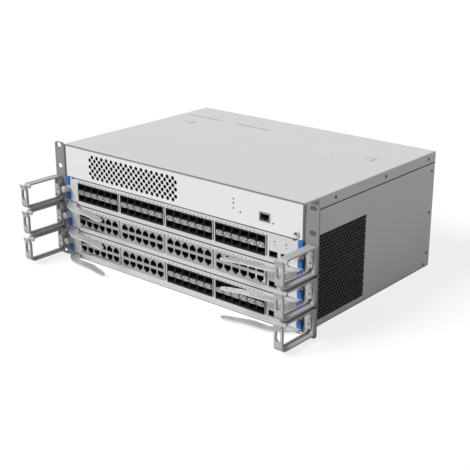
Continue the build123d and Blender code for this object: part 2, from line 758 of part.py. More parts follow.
def card_pan(card):
    """Carrier sheet of a card: a floor with two ribs, side lips, and ears with the lever pins."""
    low = card_low(card) + PAN_LOW
    pins = [(side * PIVOT_X, FRONT + PIVOT_DEPTH) for side in SIDES.values()]
    with BuildPart() as pan:
        with BuildSketch(Plane.XY.offset(low)):
            with Locations((0, FRONT + CARD_PLATE)):
                Rectangle(2 * PAN_HALF_WIDTH, PAN_DEPTH, align=(Align.CENTER, Align.MIN))
            with Locations((0, FRONT + CARD_PLATE)):
                Rectangle(
                    2 * (PIVOT_X + PIVOT_WALL),
                    PIVOT_DEPTH + PIVOT_WALL - CARD_PLATE,
                    align=(Align.CENTER, Align.MIN),
                )
        extrude(amount=SHEET)
        with BuildSketch(Plane.XY.offset(low + SHEET)):
            for side in SIDES.values():
                with Locations((side * (BOARD_HALF_WIDTH + GAP), FRONT + CARD_PLATE)):
                    Rectangle(SHEET, PAN_LIP_LENGTH, align=(outward(side), Align.MIN))
        extrude(amount=PAN_LIP)
        with BuildSketch(Plane.XY.offset(low + SHEET)):
            for side in SIDES.values():
                with Locations((side * PAN_RIB_X, FRONT + BLOCK_DEPTH)):
                    Rectangle(PAN_RIB_WIDTH, PAN_DEPTH - 2 * BLOCK_DEPTH, align=(Align.CENTER, Align.MIN))
        extrude(amount=RIB_RISE)
        with BuildSketch(Plane.XY.offset(low)):
            with Locations(*pins):
                RegularPolygon(PIVOT_R, PIVOT_SIDES)
        extrude(amount=-(PAN_LOW - LEVER_LOW))
    return pan


def card_board(card):
    """Circuit board of a card, on the pan's ribs."""
    with BuildPart() as board:
        with BuildSketch(Plane.XY.offset(card_low(card) + BOARD_LOW)):
            with Locations((0, FRONT + CARD_PLATE + CARD_GAP)):
                Rectangle(
                    2 * BOARD_HALF_WIDTH,
                    CARD_DEPTH - CARD_PLATE - CARD_GAP,
                    align=(Align.CENTER, Align.MIN),
                )
        extrude(amount=BOARD_THICKNESS)
    return board


def cage_mouths(low, lefts):
    """Mouths of pluggable ports, drawn into the current sketch."""
    for left in lefts:
        with Locations((left + (PORT_PITCH - CAGE_SIZE[0]) / 2, low)):
            Rectangle(*CAGE_SIZE, align=Align.MIN)


def jack_mouths(low, lefts, up):
    """Mouths of wired ports with the latch notch on top or below, drawn into the current sketch."""
    inset = (JACK_WIDTH - JACK_NOTCH) / 2
    outline = [(0, 0), (JACK_WIDTH, 0), (JACK_WIDTH - inset, JACK_HEIGHT), (inset, JACK_HEIGHT)]
    if not up:
        outline = [(x, JACK_HEIGHT - z) for x, z in outline]
    for left in lefts:
        with Locations((left + GAP, low)):
            Polygon(*outline, align=None)


def ports_of(card, kind):
    """Left edges of the port cells of every block of one kind on a card."""
    kinds = CARD_KINDS[card - 1]
    lefts = [left for left, block_kind in zip(block_lefts(), kinds) if block_kind == kind]
    return [[left + PORT_PITCH * port for port in range(PORTS_IN_ROW)] for left in lefts]


def card_jacks(card):
    """Housings of the wired ports of a card, two rows high, standing on the board."""
    low = card_low(card)
    with BuildPart() as jacks:
        with BuildSketch(facing(0)):
            for lefts in ports_of(card, "jack"):
                with Locations((lefts[0] - BLOCK_WALL, low + BOARD_TOP)):
                    Rectangle(BLOCK_WIDTH, BLOCK_HIGH - BOARD_TOP, align=Align.MIN)
        extrude(amount=-BLOCK_DEPTH)
        with BuildSketch(facing(0)):
            for lefts in ports_of(card, "jack"):
                jack_mouths(low + JACK_ROWS[0], lefts, up=False)
                jack_mouths(low + JACK_ROWS[1], lefts, up=True)
        extrude(amount=-JACK_POCKET, mode=Mode.SUBTRACT)
    return jacks


def card_cages(card):
    """Cages of the pluggable ports of a card: the double rows and the two single ones at the right end."""
    low = card_low(card)
    with BuildPart() as cages:
        with BuildSketch(facing(0)):
            for lefts in ports_of(card, "cage"):
                with Locations((lefts[0] - BLOCK_WALL, low + BOARD_TOP)):
                    Rectangle(BLOCK_WIDTH, BLOCK_HIGH - BOARD_TOP, align=Align.MIN)
            for x in UPLINK_X:
                with Locations((x, low + BOARD_TOP)):
                    Rectangle(UPLINK_WIDTH, UPLINK_HIGH - BOARD_TOP, align=(Align.CENTER, Align.MIN))
        extrude(amount=-BLOCK_DEPTH)
        with BuildSketch(facing(0)):
            for lefts in ports_of(card, "cage"):
                for row in CAGE_ROWS:
                    cage_mouths(low + row, lefts)
            cage_mouths(low + UPLINK_LOW, [x - PORT_PITCH / 2 for x in UPLINK_X])
        extrude(amount=-CAGE_POCKET, mode=Mode.SUBTRACT)
    return cages


def end_trims(card):
    """Coloured end pieces above and below each screw tab."""
    low = card_low(card)
    spans = (
        (low + CORNER_CUT_HEIGHT + TRIM_CLEAR, low + TAB_LOW - TRIM_CLEAR),
        (low + TAB_LOW + TAB_HEIGHT + TRIM_CLEAR, low + CARD_PITCH - CARD_GAP),
    )
    inner = PLATE_INNER_WIDTH / 2 + TRIM_CLEAR
    with BuildPart() as trims:
        with BuildSketch(facing(-TRIM_PROUD)):
            for side in SIDES.values():
                for bottom, top in spans:
                    with Locations((side * inner, bottom)):
                        Rectangle(TAB_HALF_WIDTH - inner, top - bottom, align=(outward(side), Align.MIN))
        extrude(amount=-(TRIM_PROUD + FRONT_RECESS))
    return trims


def lever(side, card):
    """Flat lever: a hub behind the card's front and an arm along it that bends out at the tip."""
    outline = [(side * (PIVOT_X - inboard), FRONT - reach) for inboard, reach in LEVER_OUTLINE]
    with BuildPart() as arm:
        with BuildSketch(Plane.XY.offset(card_low(card) + LEVER_LOW)):
            Polygon(*outline, align=None)
            with Locations((side * PIVOT_X, FRONT + PIVOT_DEPTH)):
                RegularPolygon(HUB_R, HUB_SIDES)
                RegularPolygon(PIVOT_R + RUNNING_CLEAR, PIVOT_SIDES, major_radius=False, mode=Mode.SUBTRACT)
        extrude(amount=LEVER_THICKNESS)
    return arm


def captive_screw(side, card):
    """Knob and shank of a card's captive screw."""
    centre = (side * SCREW_X, card_low(card) + SCREW_Z)
    with BuildPart() as screw:
        with BuildSketch(facing(-KNOB_CLEAR - KNOB_LENGTH)):
            with Locations(centre):
                RegularPolygon(KNOB_R, KNOB_SIDES)
        extrude(amount=-KNOB_LENGTH)
        with BuildSketch(facing(-KNOB_CLEAR)):
            with Locations(centre):
                RegularPolygon(SHANK_R, SHANK_SIDES)
        extrude(amount=-(KNOB_CLEAR + SHANK_REACH))
    return screw


def rear_panel():
    """Back sheet with the openings of the power modules and of the fan tray."""
    with BuildPart() as panel:
        with BuildSketch(facing(REAR_FACE)):
            with Locations((0, SHEET)):
                Rectangle(INNER_WIDTH, WALL_TOP - 2 * SHEET - GAP, align=(Align.CENTER, Align.MIN))
                Rectangle(
                    2 * (JOGGLE_INNER - GAP),
                    COVER_UNDER - GAP - SHEET,
                    align=(Align.CENTER, Align.MIN),
                )
            with Locations((0, TRAY_LOW - GUIDE_CLEAR)):
                Rectangle(
                    TRAY_WIDTH + 2 * GUIDE_CLEAR,
                    TRAY_HIGH - TRAY_LOW + 2 * GUIDE_CLEAR,
                    align=(Align.CENTER, Align.MIN),
                    mode=Mode.SUBTRACT,
                )
            for x in power_places():
                with Locations((x, SHELF_TOP)):
                    Rectangle(
                        POWER_WIDTH + 2 * POWER_CLEAR,
                        POWER_HEIGHT + 2 * POWER_CLEAR,
                        align=(Align.CENTER, Align.MIN),
                        mode=Mode.SUBTRACT,
                    )
        extrude(amount=-SHEET)
    return panel


def power_places():
    """X of each power module, side by side behind the intake holes."""
    return (VENT_CENTRE_X - POWER_PITCH / 2, VENT_CENTRE_X + POWER_PITCH / 2)


def power_module(x):
    """Power supply that slides out of the back, with an inlet pocket and a bail beside it."""
    low = SHELF_TOP + POWER_CLEAR
    middle = low + POWER_HEIGHT / 2
    with BuildPart() as module:
        with BuildSketch(facing(BODY_DEPTH + SHEET)):
            with Locations((x, low)):
                Rectangle(POWER_WIDTH, POWER_HEIGHT, align=(Align.CENTER, Align.MIN))
        extrude(amount=POWER_LENGTH)
        with BuildSketch(facing(BODY_DEPTH + SHEET)):
            with Locations((x - INLET_OFFSET, middle)):
                Rectangle(*INLET_SIZE)
                chamfer(vertices().group_by(Axis.Y)[-1], INLET_CORNER)
        extrude(amount=INLET_POCKET, mode=Mode.SUBTRACT)
        with BuildSketch(Plane.YZ.offset(x + BAIL_OFFSET)):
            with Locations((BACK + SHEET, middle)):
                Rectangle(HANDLE_REACH - SHEET, BAIL_SPAN, align=(Align.MIN, Align.CENTER))
                Rectangle(
                    HANDLE_REACH - SHEET - HANDLE_BAR,
                    BAIL_SPAN - 2 * HANDLE_BAR,
                    align=(Align.MIN, Align.CENTER),
                    mode=Mode.SUBTRACT,
                )
        extrude(amount=HANDLE_WIDTH / 2, both=True)
    return module


def fan_tray():
    """Open box for the fans, with a guarded back plate, motor shafts and a pull."""
    middle = (TRAY_LOW + TRAY_HIGH) / 2
    height = TRAY_HIGH - TRAY_LOW
    with BuildPart() as tray:
        with BuildSketch(facing(BODY_DEPTH - TRAY_DEPTH)):
            with Locations((0, middle)):
                Rectangle(TRAY_WIDTH, height)
                Rectangle(TRAY_WIDTH - 2 * SHEET, height - 2 * SHEET, mode=Mode.SUBTRACT)
        extrude(amount=-TRAY_DEPTH)
        with BuildSketch(facing(BODY_DEPTH)):
            with Locations((0, middle)):
                Rectangle(TRAY_WIDTH + 2 * TRAY_PLATE_BORDER, height)
            with Locations(*fan_places()):
                RegularPolygon(FAN_R, FAN_SIDES, mode=Mode.SUBTRACT)
                RegularPolygon(ROTOR_HUB_R, FAN_SIDES)
                Rectangle(2 * FAN_R, GUARD_BAR)
                Rectangle(GUARD_BAR, 2 * FAN_R)
        extrude(amount=-SHEET)
        with BuildSketch(facing(BODY_DEPTH)):
            with Locations(*fan_places()):
                RegularPolygon(SHAFT_R, PIVOT_SIDES)
        extrude(amount=ROTOR_DEPTH / 2 + ROTOR_SPACE)
        with BuildSketch(Plane.YZ):
            with Locations((BACK + SHEET, middle)):
                Rectangle(HANDLE_REACH - SHEET, HANDLE_SPAN, align=(Align.MIN, Align.CENTER))
                Rectangle(
                    HANDLE_REACH - SHEET - HANDLE_BAR,
                    HANDLE_SPAN - 2 * HANDLE_BAR,
                    align=(Align.MIN, Align.CENTER),
                    mode=Mode.SUBTRACT,
                )
        extrude(amount=HANDLE_WIDTH / 2, both=True)
    return tray


def fan_places():
    """Centres of the fans on the tray's back plate, as X and Z."""
    first = -FAN_PITCH * (FAN_COUNT - 1) / 2
    return [(first + FAN_PITCH * fan, (TRAY_LOW + TRAY_HIGH) / 2) for fan in range(FAN_COUNT)]


def fan_rotor(x, z):
    """Hub with leaning blades, running on the tray's shaft."""
    face = BODY_DEPTH - ROTOR_SPACE
    blade_centre = Plane.XZ.offset(-(FRONT + face - ROTOR_DEPTH / 2))
    with BuildPart() as rotor:
        with BuildSketch(facing(face)):
            with Locations((x, z)):
                RegularPolygon(ROTOR_HUB_R, FAN_SIDES)
        extrude(amount=ROTOR_DEPTH)
        for blade in range(BLADE_COUNT):
            turned = Plane(blade_centre.location * Location((x, z, 0), (0, 0, blade * 360 / BLADE_COUNT)))
            spoke = Plane(turned.location * Location((0, 0, 0), (0, 90, 0)))
            with BuildSketch(spoke.offset(BLADE_ROOT)):
                Rectangle(BLADE_CHORD, BLADE_THICKNESS, rotation=BLADE_LEAN)
            extrude(amount=ROTOR_R - BLADE_ROOT)
        with BuildSketch(facing(face)):
            with Locations((x, z)):
                RegularPolygon(SHAFT_R + RUNNING_CLEAR, PIVOT_SIDES, major_radius=False)
        extrude(amount=ROTOR_DEPTH / 2 + ROTOR_SPACE, mode=Mode.SUBTRACT)
    return rotor


write(chassis_tub(), "chassis_tub")
write(top_cover(), "top_cover")
write(control_panel(), "control_panel")
write(control_board(), "control_board")
write(console_port(), "console_port")
write(ground_jack(), "ground_jack")
write(status_lights(), "status_lights")
write(reset_button(), "reset_button")
write(shelf(), "shelf")
write(card_guides(), "card_guides")
write(backplane(), "backplane")
write(backplane_sockets(), "backplane_sockets")
write(rear_panel(), "rear_panel")
write(fan_tray(), "fan_tray")
for number, place in enumerate(fan_places(), start=1):
    write(fan_rotor(*place), f"fan_rotor_{number}")
for number, place in enumerate(power_places(), start=1):
    write(power_module(place), f"power_module_{number}")
for name, direction in SIDES.items():
    write(rack_ear(direction), f"{name}_ear")
for number in CARDS:
    write(card_faceplate(number), f"card_{number}_faceplate")
    write(card_pan(number), f"card_{number}_pan")
    write(card_board(number), f"card_{number}_board")
    write(card_plugs(number), f"card_{number}_plugs")
    write(end_trims(number), f"card_{number}_end_trims")
    write(card_cages(number), f"card_{number}_cages")
    if "jack" in CARD_KINDS[number - 1]:
        write(card_jacks(number), f"card_{number}_jacks")
    for name, direction in SIDES.items():
        write(lever(direction, number), f"card_{number}_{name}_lever")
        write(captive_screw(direction, number), f"card_{number}_{name}_screw")
        write(cable_ring(direction, number), f"{name}_ring_{number}")
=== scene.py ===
"""Looks of the modular chassis switch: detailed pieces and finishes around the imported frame.

Shapes are drawn in millimetres in the part's own frame and become metres when a piece is finished.
Flat pieces are drawn as closed lines in a plane, made into sheets that grow downwards, and stood up.
"""

import math

import bmesh
import bpy
from mathutils import Matrix, Vector


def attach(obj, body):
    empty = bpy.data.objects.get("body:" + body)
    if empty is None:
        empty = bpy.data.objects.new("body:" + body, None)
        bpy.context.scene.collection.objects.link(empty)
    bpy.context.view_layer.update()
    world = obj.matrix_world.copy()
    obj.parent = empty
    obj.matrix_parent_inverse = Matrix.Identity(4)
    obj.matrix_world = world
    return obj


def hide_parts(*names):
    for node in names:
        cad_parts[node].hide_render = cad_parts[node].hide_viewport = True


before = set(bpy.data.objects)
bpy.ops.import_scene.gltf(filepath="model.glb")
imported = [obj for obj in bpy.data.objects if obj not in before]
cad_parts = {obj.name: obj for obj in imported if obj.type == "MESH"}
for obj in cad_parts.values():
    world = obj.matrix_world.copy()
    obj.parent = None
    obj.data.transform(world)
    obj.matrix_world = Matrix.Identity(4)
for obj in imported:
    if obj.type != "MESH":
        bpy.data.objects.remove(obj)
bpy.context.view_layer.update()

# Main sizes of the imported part
MM = 0.001
FRONT = -131
BACK = 184
HALF = 220.5
SHEET = 1.2
REAR = BACK + SHEET
HIGH = 175
RECESS = 2
WALL_TOP = 159.5
SHELF_TOP = 126.3
PANEL_LOW = 126.4
PANEL_HIGH = 173.4
CARD_LOW = {1: 85, 2: 44, 3: 3}
CARD_KINDS = {1: ("cage",) * 4, 2: ("jack",) * 4, 3: ("jack", "jack", "cage", "cage")}
SIDES = {"left": -1, "right": 1}

# Ways to stand up a flat drawing: seen from the front, from the back and from the right
FACING = Matrix(((1, 0, 0, 0), (0, 0, -1, 0), (0, 1, 0, 0), (0, 0, 0, 1)))
BACKWARD = Matrix(((-1, 0, 0, 0), (0, 0, 1, 0), (0, 1, 0, 0), (0, 0, 0, 1)))
SIDEWAYS = Matrix(((0, 0, 1, 0), (1, 0, 0, 0), (0, 1, 0, 0), (0, 0, 0, 1)))


def at(x, y, z):
    """Shift in millimetres."""
    return Matrix.Translation((x, y, z))


def mirrored(side):
    """Keeps a right-hand part for side 1, and makes it a left-hand one for side -1."""
    return Matrix.Diagonal((side, 1, 1, 1))


def bevelled(bm, items, offset, steps, kind):
    """Rounds some corners or edges of a mesh."""
    bmesh.ops.bevel(bm, geom=items, offset=offset, segments=steps, profile=0.5, affect=kind, material=-1)


def circle(x, y, radius, segments=16, turn=0):
    """Closed line of a round hole or rim."""

    def draw(bm):
        place = at(x, y, 0) @ Matrix.Rotation(turn, 4, "Z")
        bmesh.ops.create_circle(bm, segments=segments, radius=radius, matrix=place)

    return draw


def rectangle(x, y, width, height, corner=0, steps=3):
    """Closed line of a rectangle around x and y, its corners rounded."""

    def draw(bm):
        place = at(x, y, 0) @ Matrix.Diagonal((width, height, 1, 1))
        made = bmesh.ops.create_grid(bm, x_segments=1, y_segments=1, size=0.5, matrix=place)
        face = made["verts"][0].link_faces[0]
        if corner:
            bevelled(bm, made["verts"], corner, steps, "VERTICES")
            face = bm.faces[:][-1]
        bmesh.ops.delete(bm, geom=[face], context="FACES_ONLY")

    return draw


def outline(points, rounding=(), steps=5):
    """Closed line through corner points, each rounded by its own distance along the sides."""

    def draw(bm):
        verts = [bm.verts.new((x, y, 0)) for x, y in points]
        bm.faces.new(verts)
        for vert, distance in zip(verts, rounding):
            if distance:
                bevelled(bm, [vert], distance, steps, "VERTICES")
        bmesh.ops.delete(bm, geom=[bm.faces[:][-1]], context="FACES_ONLY")

    return draw


def sheet(thickness, *lines):
    """Sheet within the outer line and around the others, growing downwards from the drawing plane."""
    bm = bmesh.new()
    for line in lines:
        line(bm)
    filled = bmesh.ops.triangle_fill(
        bm, use_beauty=True, use_dissolve=False, edges=bm.edges[:], normal=(0, 0, 1)
    )
    faces = [item for item in filled["geom"] if isinstance(item, bmesh.types.BMFace)]
    grown = bmesh.ops.extrude_face_region(bm, geom=faces)
    moved = [item for item in grown["geom"] if isinstance(item, bmesh.types.BMVert)]
    bmesh.ops.translate(bm, verts=moved, vec=(0, 0, -thickness))
    bmesh.ops.recalc_face_normals(bm, faces=bm.faces)
    return bm


def placed(bm, matrix):
    """The mesh, turned and moved; a mirrored one is turned outside out again."""
    bmesh.ops.transform(bm, matrix=matrix, verts=bm.verts)
    if matrix.determinant() < 0:
        bmesh.ops.reverse_faces(bm, faces=bm.faces)
    return bm


def block(low, high, corner=0, steps=2):
    """Box between two corners with rounded edges."""
    bm = bmesh.new()
    low = Vector(low)
    high = Vector(high)
    place = Matrix.Translation((low + high) / 2) @ Matrix.Diagonal((*(high - low), 1))
    bmesh.ops.create_cube(bm, size=1, matrix=place)
    if corner:
        bevelled(bm, bm.edges[:], corner, steps, "EDGES")
    return bm


def turned(profile, steps=24):
    """Round solid about Z from its half section, given as radius and height."""
    bm = bmesh.new()
    verts = [bm.verts.new((radius, 0, height)) for radius, height in profile]
    edges = [bm.edges.new(pair) for pair in zip(verts, verts[1:])]
    bmesh.ops.spin(
        bm, geom=verts + edges, cent=(0, 0, 0), axis=(0, 0, 1), dvec=(0, 0, 0), angle=math.tau, steps=steps,
        use_merge=True, use_duplicate=False,
    )
    bmesh.ops.remove_doubles(bm, verts=bm.verts, dist=0.0005)
    bmesh.ops.recalc_face_normals(bm, faces=bm.faces)
    return bm


def mesh_of(name, bm):
    """Mesh data of a drawn shape, whose drawing is given up."""
    mesh = bpy.data.meshes.new(name)
    bm.to_mesh(mesh)
    bm.free()
    return mesh


def in_scene(name, data):
    """New object in the scene."""
    obj = bpy.data.objects.new(name, data)
    bpy.context.scene.collection.objects.link(obj)
    return obj


def joined(*parts):
    """One mesh made of several finished ones."""
    whole = bmesh.new()
    for part in parts:
        mesh = mesh_of("part", part)
        whole.from_mesh(mesh)
        bpy.data.meshes.remove(mesh)
    return whole


def repeated(bm, matrices):
    """Copies of one mesh, one for each matrix."""
    mesh = mesh_of("unit", bm)
    copies = []
    for matrix in matrices:
        copy = bmesh.new()
        copy.from_mesh(mesh)
        copies.append(placed(copy, matrix))
    bpy.data.meshes.remove(mesh)
    return joined(*copies)


def both(bm):
    """A right-hand part and its mirror image."""
    return repeated(bm, [mirrored(side) for side in SIDES.values()])


def carved(bm, cutter):
    """The mesh with another one cut out of it."""
    objects = [in_scene("carving", mesh_of("carving", shape)) for shape in (bm, cutter)]
    modifier = objects[0].modifiers.new("cut", "BOOLEAN")
    modifier.object = objects[1]
    modifier.solver = "EXACT"
    graph = bpy.context.evaluated_depsgraph_get()
    result = bpy.data.meshes.new_from_object(objects[0].evaluated_get(graph))
    whole = bmesh.new()
    whole.from_mesh(result)
    bpy.data.meshes.remove(result)
    for obj in objects:
        mesh = obj.data
        bpy.data.objects.remove(obj)
        bpy.data.meshes.remove(mesh)
    return whole


def piece(name, bm, body, look, nodes=(), round_edges=0):
    """Finishes a mesh as an object of the scene that rides on its body."""
    bmesh.ops.scale(bm, vec=(MM, MM, MM), verts=bm.verts)
    obj = in_scene(name, mesh_of(name, bm))
    obj.data.materials.append(looks[look])
    if round_edges:
        modifier = obj.modifiers.new("soft edges", "BEVEL")
        modifier.width = round_edges * MM
        modifier.segments = 2
        modifier.limit_method = "ANGLE"
        modifier.angle_limit = math.radians(35)
    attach(obj, body)
    if nodes:
        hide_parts(*nodes)
    return obj


# Finishes

def feed(node, inputs):
    """Sets a shader node's inputs, or joins them to the outputs of other nodes."""
    for label, given in inputs.items():
        if isinstance(given, bpy.types.NodeSocket):
            node.id_data.links.new(given, node.inputs[label])
        else:
            node.inputs[label].default_value = given
    return node


def wired(tree, kind, inputs, operation=None):
    """First output of a new shader node."""
    node = tree.nodes.new(f"ShaderNode{kind}")
    if operation:
        node.operation = operation
    return feed(node, inputs).outputs[0]


def effect_group(name, extra, extra_kind, extra_value):
    """Shader group with the shared sockets and one of its own, with its inputs and the object's places."""
    group = bpy.data.node_groups.new(name, "ShaderNodeTree")
    sockets = (
        ("Colour", "NodeSocketColor", (0.5, 0.5, 0.5, 1)),
        ("Spread", "NodeSocketFloat", 0.05),
        ("Roughness", "NodeSocketFloat", 0.4),
        (extra, extra_kind, extra_value),
    )
    for label, kind, value in sockets:
        socket = group.interface.new_socket(name=label, in_out="INPUT", socket_type=kind)
        socket.default_value = value
    group.interface.new_socket(name="Colour", in_out="OUTPUT", socket_type="NodeSocketColor")
    for label in ("Roughness", "Height"):
        group.interface.new_socket(name=label, in_out="OUTPUT", socket_type="NodeSocketFloat")
    given = group.nodes.new("NodeGroupInput").outputs
    where = group.nodes.new("ShaderNodeTexCoord").outputs["Object"]
    return group, given, where


def close_effect(group, given, clouds, gloss, gain, height):
    """Ends an effect: clouds in the tone of the given colour, clouds in the gloss, and the relief."""
    tone = wired(group, "Math", {0: clouds, 1: given["Spread"], 2: 1}, "MULTIPLY_ADD")
    shade = wired(group, "VectorMath", {0: given["Colour"], "Scale": tone}, "SCALE")
    rough = wired(group, "Math", {0: gloss, 1: gain, 2: given["Roughness"]}, "MULTIPLY_ADD")
    feed(group.nodes.new("NodeGroupOutput"), {"Colour": shade, "Roughness": rough, "Height": height})
    return group


def coat_grain():
    """Powder coat: a fine grain, soft blotches in tone and gloss."""
    group, given, where = effect_group("coat_grain", "Grain Scale", "NodeSocketFloat", 1400)
    grain = wired(group, "TexNoise", {"Vector": where, "Scale": given["Grain Scale"], "Detail": 2})
    blotch = wired(group, "TexNoise", {"Vector": where, "Scale": 14, "Detail": 4})
    centred = wired(group, "Math", {0: blotch, 1: 0.5}, "SUBTRACT")
    speck = wired(group, "Math", {0: grain, 1: 0.5}, "SUBTRACT")
    mixed = wired(group, "Math", {0: speck, 1: 0.5, 2: centred}, "MULTIPLY_ADD")
    return close_effect(group, given, mixed, centred, 0.25, grain)


def drawn_grain():
    """Rolled or brushed metal: fine streaks along one direction, and soft clouds."""
    group, given, where = effect_group("drawn_grain", "Stretch", "NodeSocketVector", (60, 900, 900))
    stretched = wired(group, "VectorMath", {0: where, 1: given["Stretch"]}, "MULTIPLY")
    streak = wired(group, "TexNoise", {"Vector": stretched, "Scale": 1, "Detail": 3})
    cloud = wired(group, "TexNoise", {"Vector": where, "Scale": 25})
    centred = wired(group, "Math", {0: streak, 1: 0.5}, "SUBTRACT")
    return close_effect(group, given, centred, cloud, 0.18, streak)


def grey(value):
    """Neutral colour from a tone between 0 and 255 as the eye sees it."""
    tone = value / 255
    return ((tone / 12.92) if tone <= 0.04045 else ((tone + 0.055) / 1.055) ** 2.4,) * 3


def finish(name, group, colour, spread, roughness, bump=0.05, metallic=0):
    """Material whose colour, gloss and relief come from a shared effect; a plain number is a grey tone."""
    material = bpy.data.materials.new(name)
    material.use_nodes = True
    tree = material.node_tree
    effect = tree.nodes.new("ShaderNodeGroup")
    effect.node_tree = group
    colour = colour if isinstance(colour, tuple) else grey(colour)
    feed(effect, {"Colour": (*colour, 1), "Spread": spread, "Roughness": roughness})
    out = effect.outputs
    relief = wired(tree, "Bump", {"Strength": bump, "Distance": 0.00005, "Height": out["Height"]})
    feed(
        tree.nodes["Principled BSDF"],
        {"Base Color": out["Colour"], "Roughness": out["Roughness"], "Metallic": metallic, "Normal": relief},
    )
    return material


# Paints and plastics: tone, its spread, roughness and relief
PAINTS = {
    "shell_paint": (203, 0.03, 0.42, 0.12),
    "panel_paint": (219, 0.02, 0.4, 0.08),
    "card_paint": (198, 0.03, 0.4, 0.08),
    # painted shade: the locators are the cover's own paint, made darker for the shading of their raised
    # sides
    "locator_shade_paint": (184, 0.03, 0.42, 0.12),
    # painted shade: the grille's thin webs, darker than the wall sheet they belong to
    "grille_shade_paint": (110, 0.03, 0.5, 0.12),
    "ear_paint": (127, 0.04, 0.45, 0.12),
    "ring_grey": (167, 0.05, 0.5, 0.15),
    "trim_blue": ((0.006, 0.125, 0.47), 0.06, 0.45, 0.05),
    "moulded_black": (24, 0.1, 0.5, 0.2),
    "board_green": ((0.01, 0.06, 0.03), 0.2, 0.35, 0.1),
    "connector_cream": (200, 0.05, 0.5, 0.1),
    "light_clear": (84, 0.05, 0.2, 0.02),
    "mark_grey": (118, 0.05, 0.4, 0.02),
    "strip_grey": (112, 0.06, 0.5, 0.1),
    # painted shade: the dark strip in the seams between cards and behind their small holes
    "seam_shade_dark": (74, 0.1, 0.7, 0.1),
    # painted shade: the dark strips in the gaps beside the ears
    "gap_shade_dark": (92, 0.1, 0.7, 0.1),
    # painted shade: black of the sheets behind the air holes, standing for the dark inside
    "shade_black": (11, 0.3, 0.9, 0.6),
}
# Metals: tone, its spread, roughness and share of bare metal
METALS = {
    "lever_steel": (206, 0.05, 0.24, 0.42),
    "screw_steel": (190, 0.1, 0.35, 0.6),
    "cage_steel": (162, 0.12, 0.35, 0.8),
    # painted shade: dark metal of the cage walls, standing for the shade inside the pockets
    "cage_shade_dark": (28, 0.2, 0.45, 0.3),
    "jack_shield": (163, 0.06, 0.08, 1),
    "zinc_sheet": (190, 0.15, 0.3, 1),
    "dark_zinc": (70, 0.15, 0.4, 1),
    "contact_gold": ((0.75, 0.5, 0.18), 0.1, 0.2, 1),
}
COAT = coat_grain()
DRAWN = drawn_grain()
looks = {look: finish(look, COAT, *values) for look, values in PAINTS.items()}
for look, (tone, spread, roughness, share) in METALS.items():
    looks[look] = finish(look, DRAWN, tone, spread, roughness, metallic=share)
feed(looks["light_clear"].node_tree.nodes["Principled BSDF"], {"Coat Weight": 0.5})
# the painted shade behind the air holes gets little shine and a coarser grain
feed(looks["shade_black"].node_tree.nodes["Principled BSDF"], {"Specular IOR Level": 0.1})
feed(looks["shade_black"].node_tree.nodes["Group"], {"Grain Scale": 700})

# Chassis shell

VENT_PITCH = 5.61
VENT_ROW = 4.86
VENT_COLUMNS = 20
VENT_ROWS = 24
VENT_START = (FRONT + 26, 11.2)
VENT_HEX_R = 2.95
VENT_MARGIN = 4.8
VENT_REACH = VENT_PITCH / math.sqrt(3)
GRILLE = 0.3
SHADE_SHEET = 0.5
SKIN = 0.5
PANEL_FIELD = (-80.5, 149.1, 182, 38)
FLANGE_INNER = 209
FLANGE_LOW = 0.6
FLANGE_TOP = SHELF_TOP - SHEET - 0.1
NOTCH_HIGH = 5
SCREW_X = 215.6
SCREW_Z = 22.3
SCREW_HOLE_R = 2.9
JOGGLE_INNER = 218


def vent_field(spare=0):
    """Middle, width and height of the field of air holes in a side wall."""
    width = (VENT_COLUMNS + 0.5) * VENT_PITCH
    height = (VENT_ROWS - 1) * VENT_ROW
    middle = (VENT_START[0] + (width - VENT_PITCH) / 2, VENT_START[1] + height / 2)
    return (*middle, width - spare, height + VENT_MARGIN - spare)


def honeycomb():
    """Thin cells of the air grille: six-sided rings, and half cells where a row begins or ends early."""
    upright = math.radians(30)
    ring = sheet(GRILLE, *[circle(0, 0, radius, 6, upright) for radius in (VENT_REACH, VENT_HEX_R)])
    edge = VENT_PITCH / 2
    half = sheet(
        GRILLE, outline([(0, VENT_REACH), (0, -VENT_REACH), (edge, -VENT_REACH / 2), (edge, VENT_REACH / 2)])
    )
    cells = []
    ends = []
    for row in range(VENT_ROWS):
        start = at(VENT_START[0] + edge * (row % 2), VENT_START[1] + row * VENT_ROW, 0)
        cells += [start @ at(column * VENT_PITCH, 0, 0) for column in range(VENT_COLUMNS)]
        if row % 2:
            ends.append(start @ at(-VENT_PITCH, 0, 0))
        else:
            ends.append(start @ at(VENT_COLUMNS * VENT_PITCH, 0, 0) @ Matrix.Rotation(math.pi, 4, "Z"))
    return joined(repeated(ring, cells), repeated(half, ends))


def perforated_wall():
    """Right wall: a skin around the air grille, and behind it the rest of the sheet, open as well."""
    middle = (FRONT + RECESS + BACK) / 2
    lines = (rectangle(middle, WALL_TOP / 2, BACK - FRONT - RECESS, WALL_TOP), rectangle(*vent_field()))
    layers = joined(sheet(SKIN, *lines), placed(sheet(SHEET - SKIN, *lines), at(0, 0, -SKIN)))
    return placed(layers, at(HALF, 0, 0) @ SIDEWAYS)


def air_grilles():
    """Honeycombs of both walls, in a grey darker than the walls that paints the shade on their thin webs."""
    return both(placed(honeycomb(), at(HALF - 0.02, 0, 0) @ SIDEWAYS))


def air_shade_sheets():
    """Black sheets behind the air holes of both walls and of the panel: painted shade that stands for the
    dark inside.
    """
    wall_shade = sheet(SHADE_SHEET, rectangle(*vent_field(0.2)))
    panel = sheet(SHADE_SHEET, rectangle(*PANEL_FIELD, corner=1))
    behind = SKIN + 0.1
    walls = both(placed(wall_shade, at(HALF - behind, 0, 0) @ SIDEWAYS))
    return joined(walls, placed(panel, at(0, FRONT + behind, 0) @ FACING))


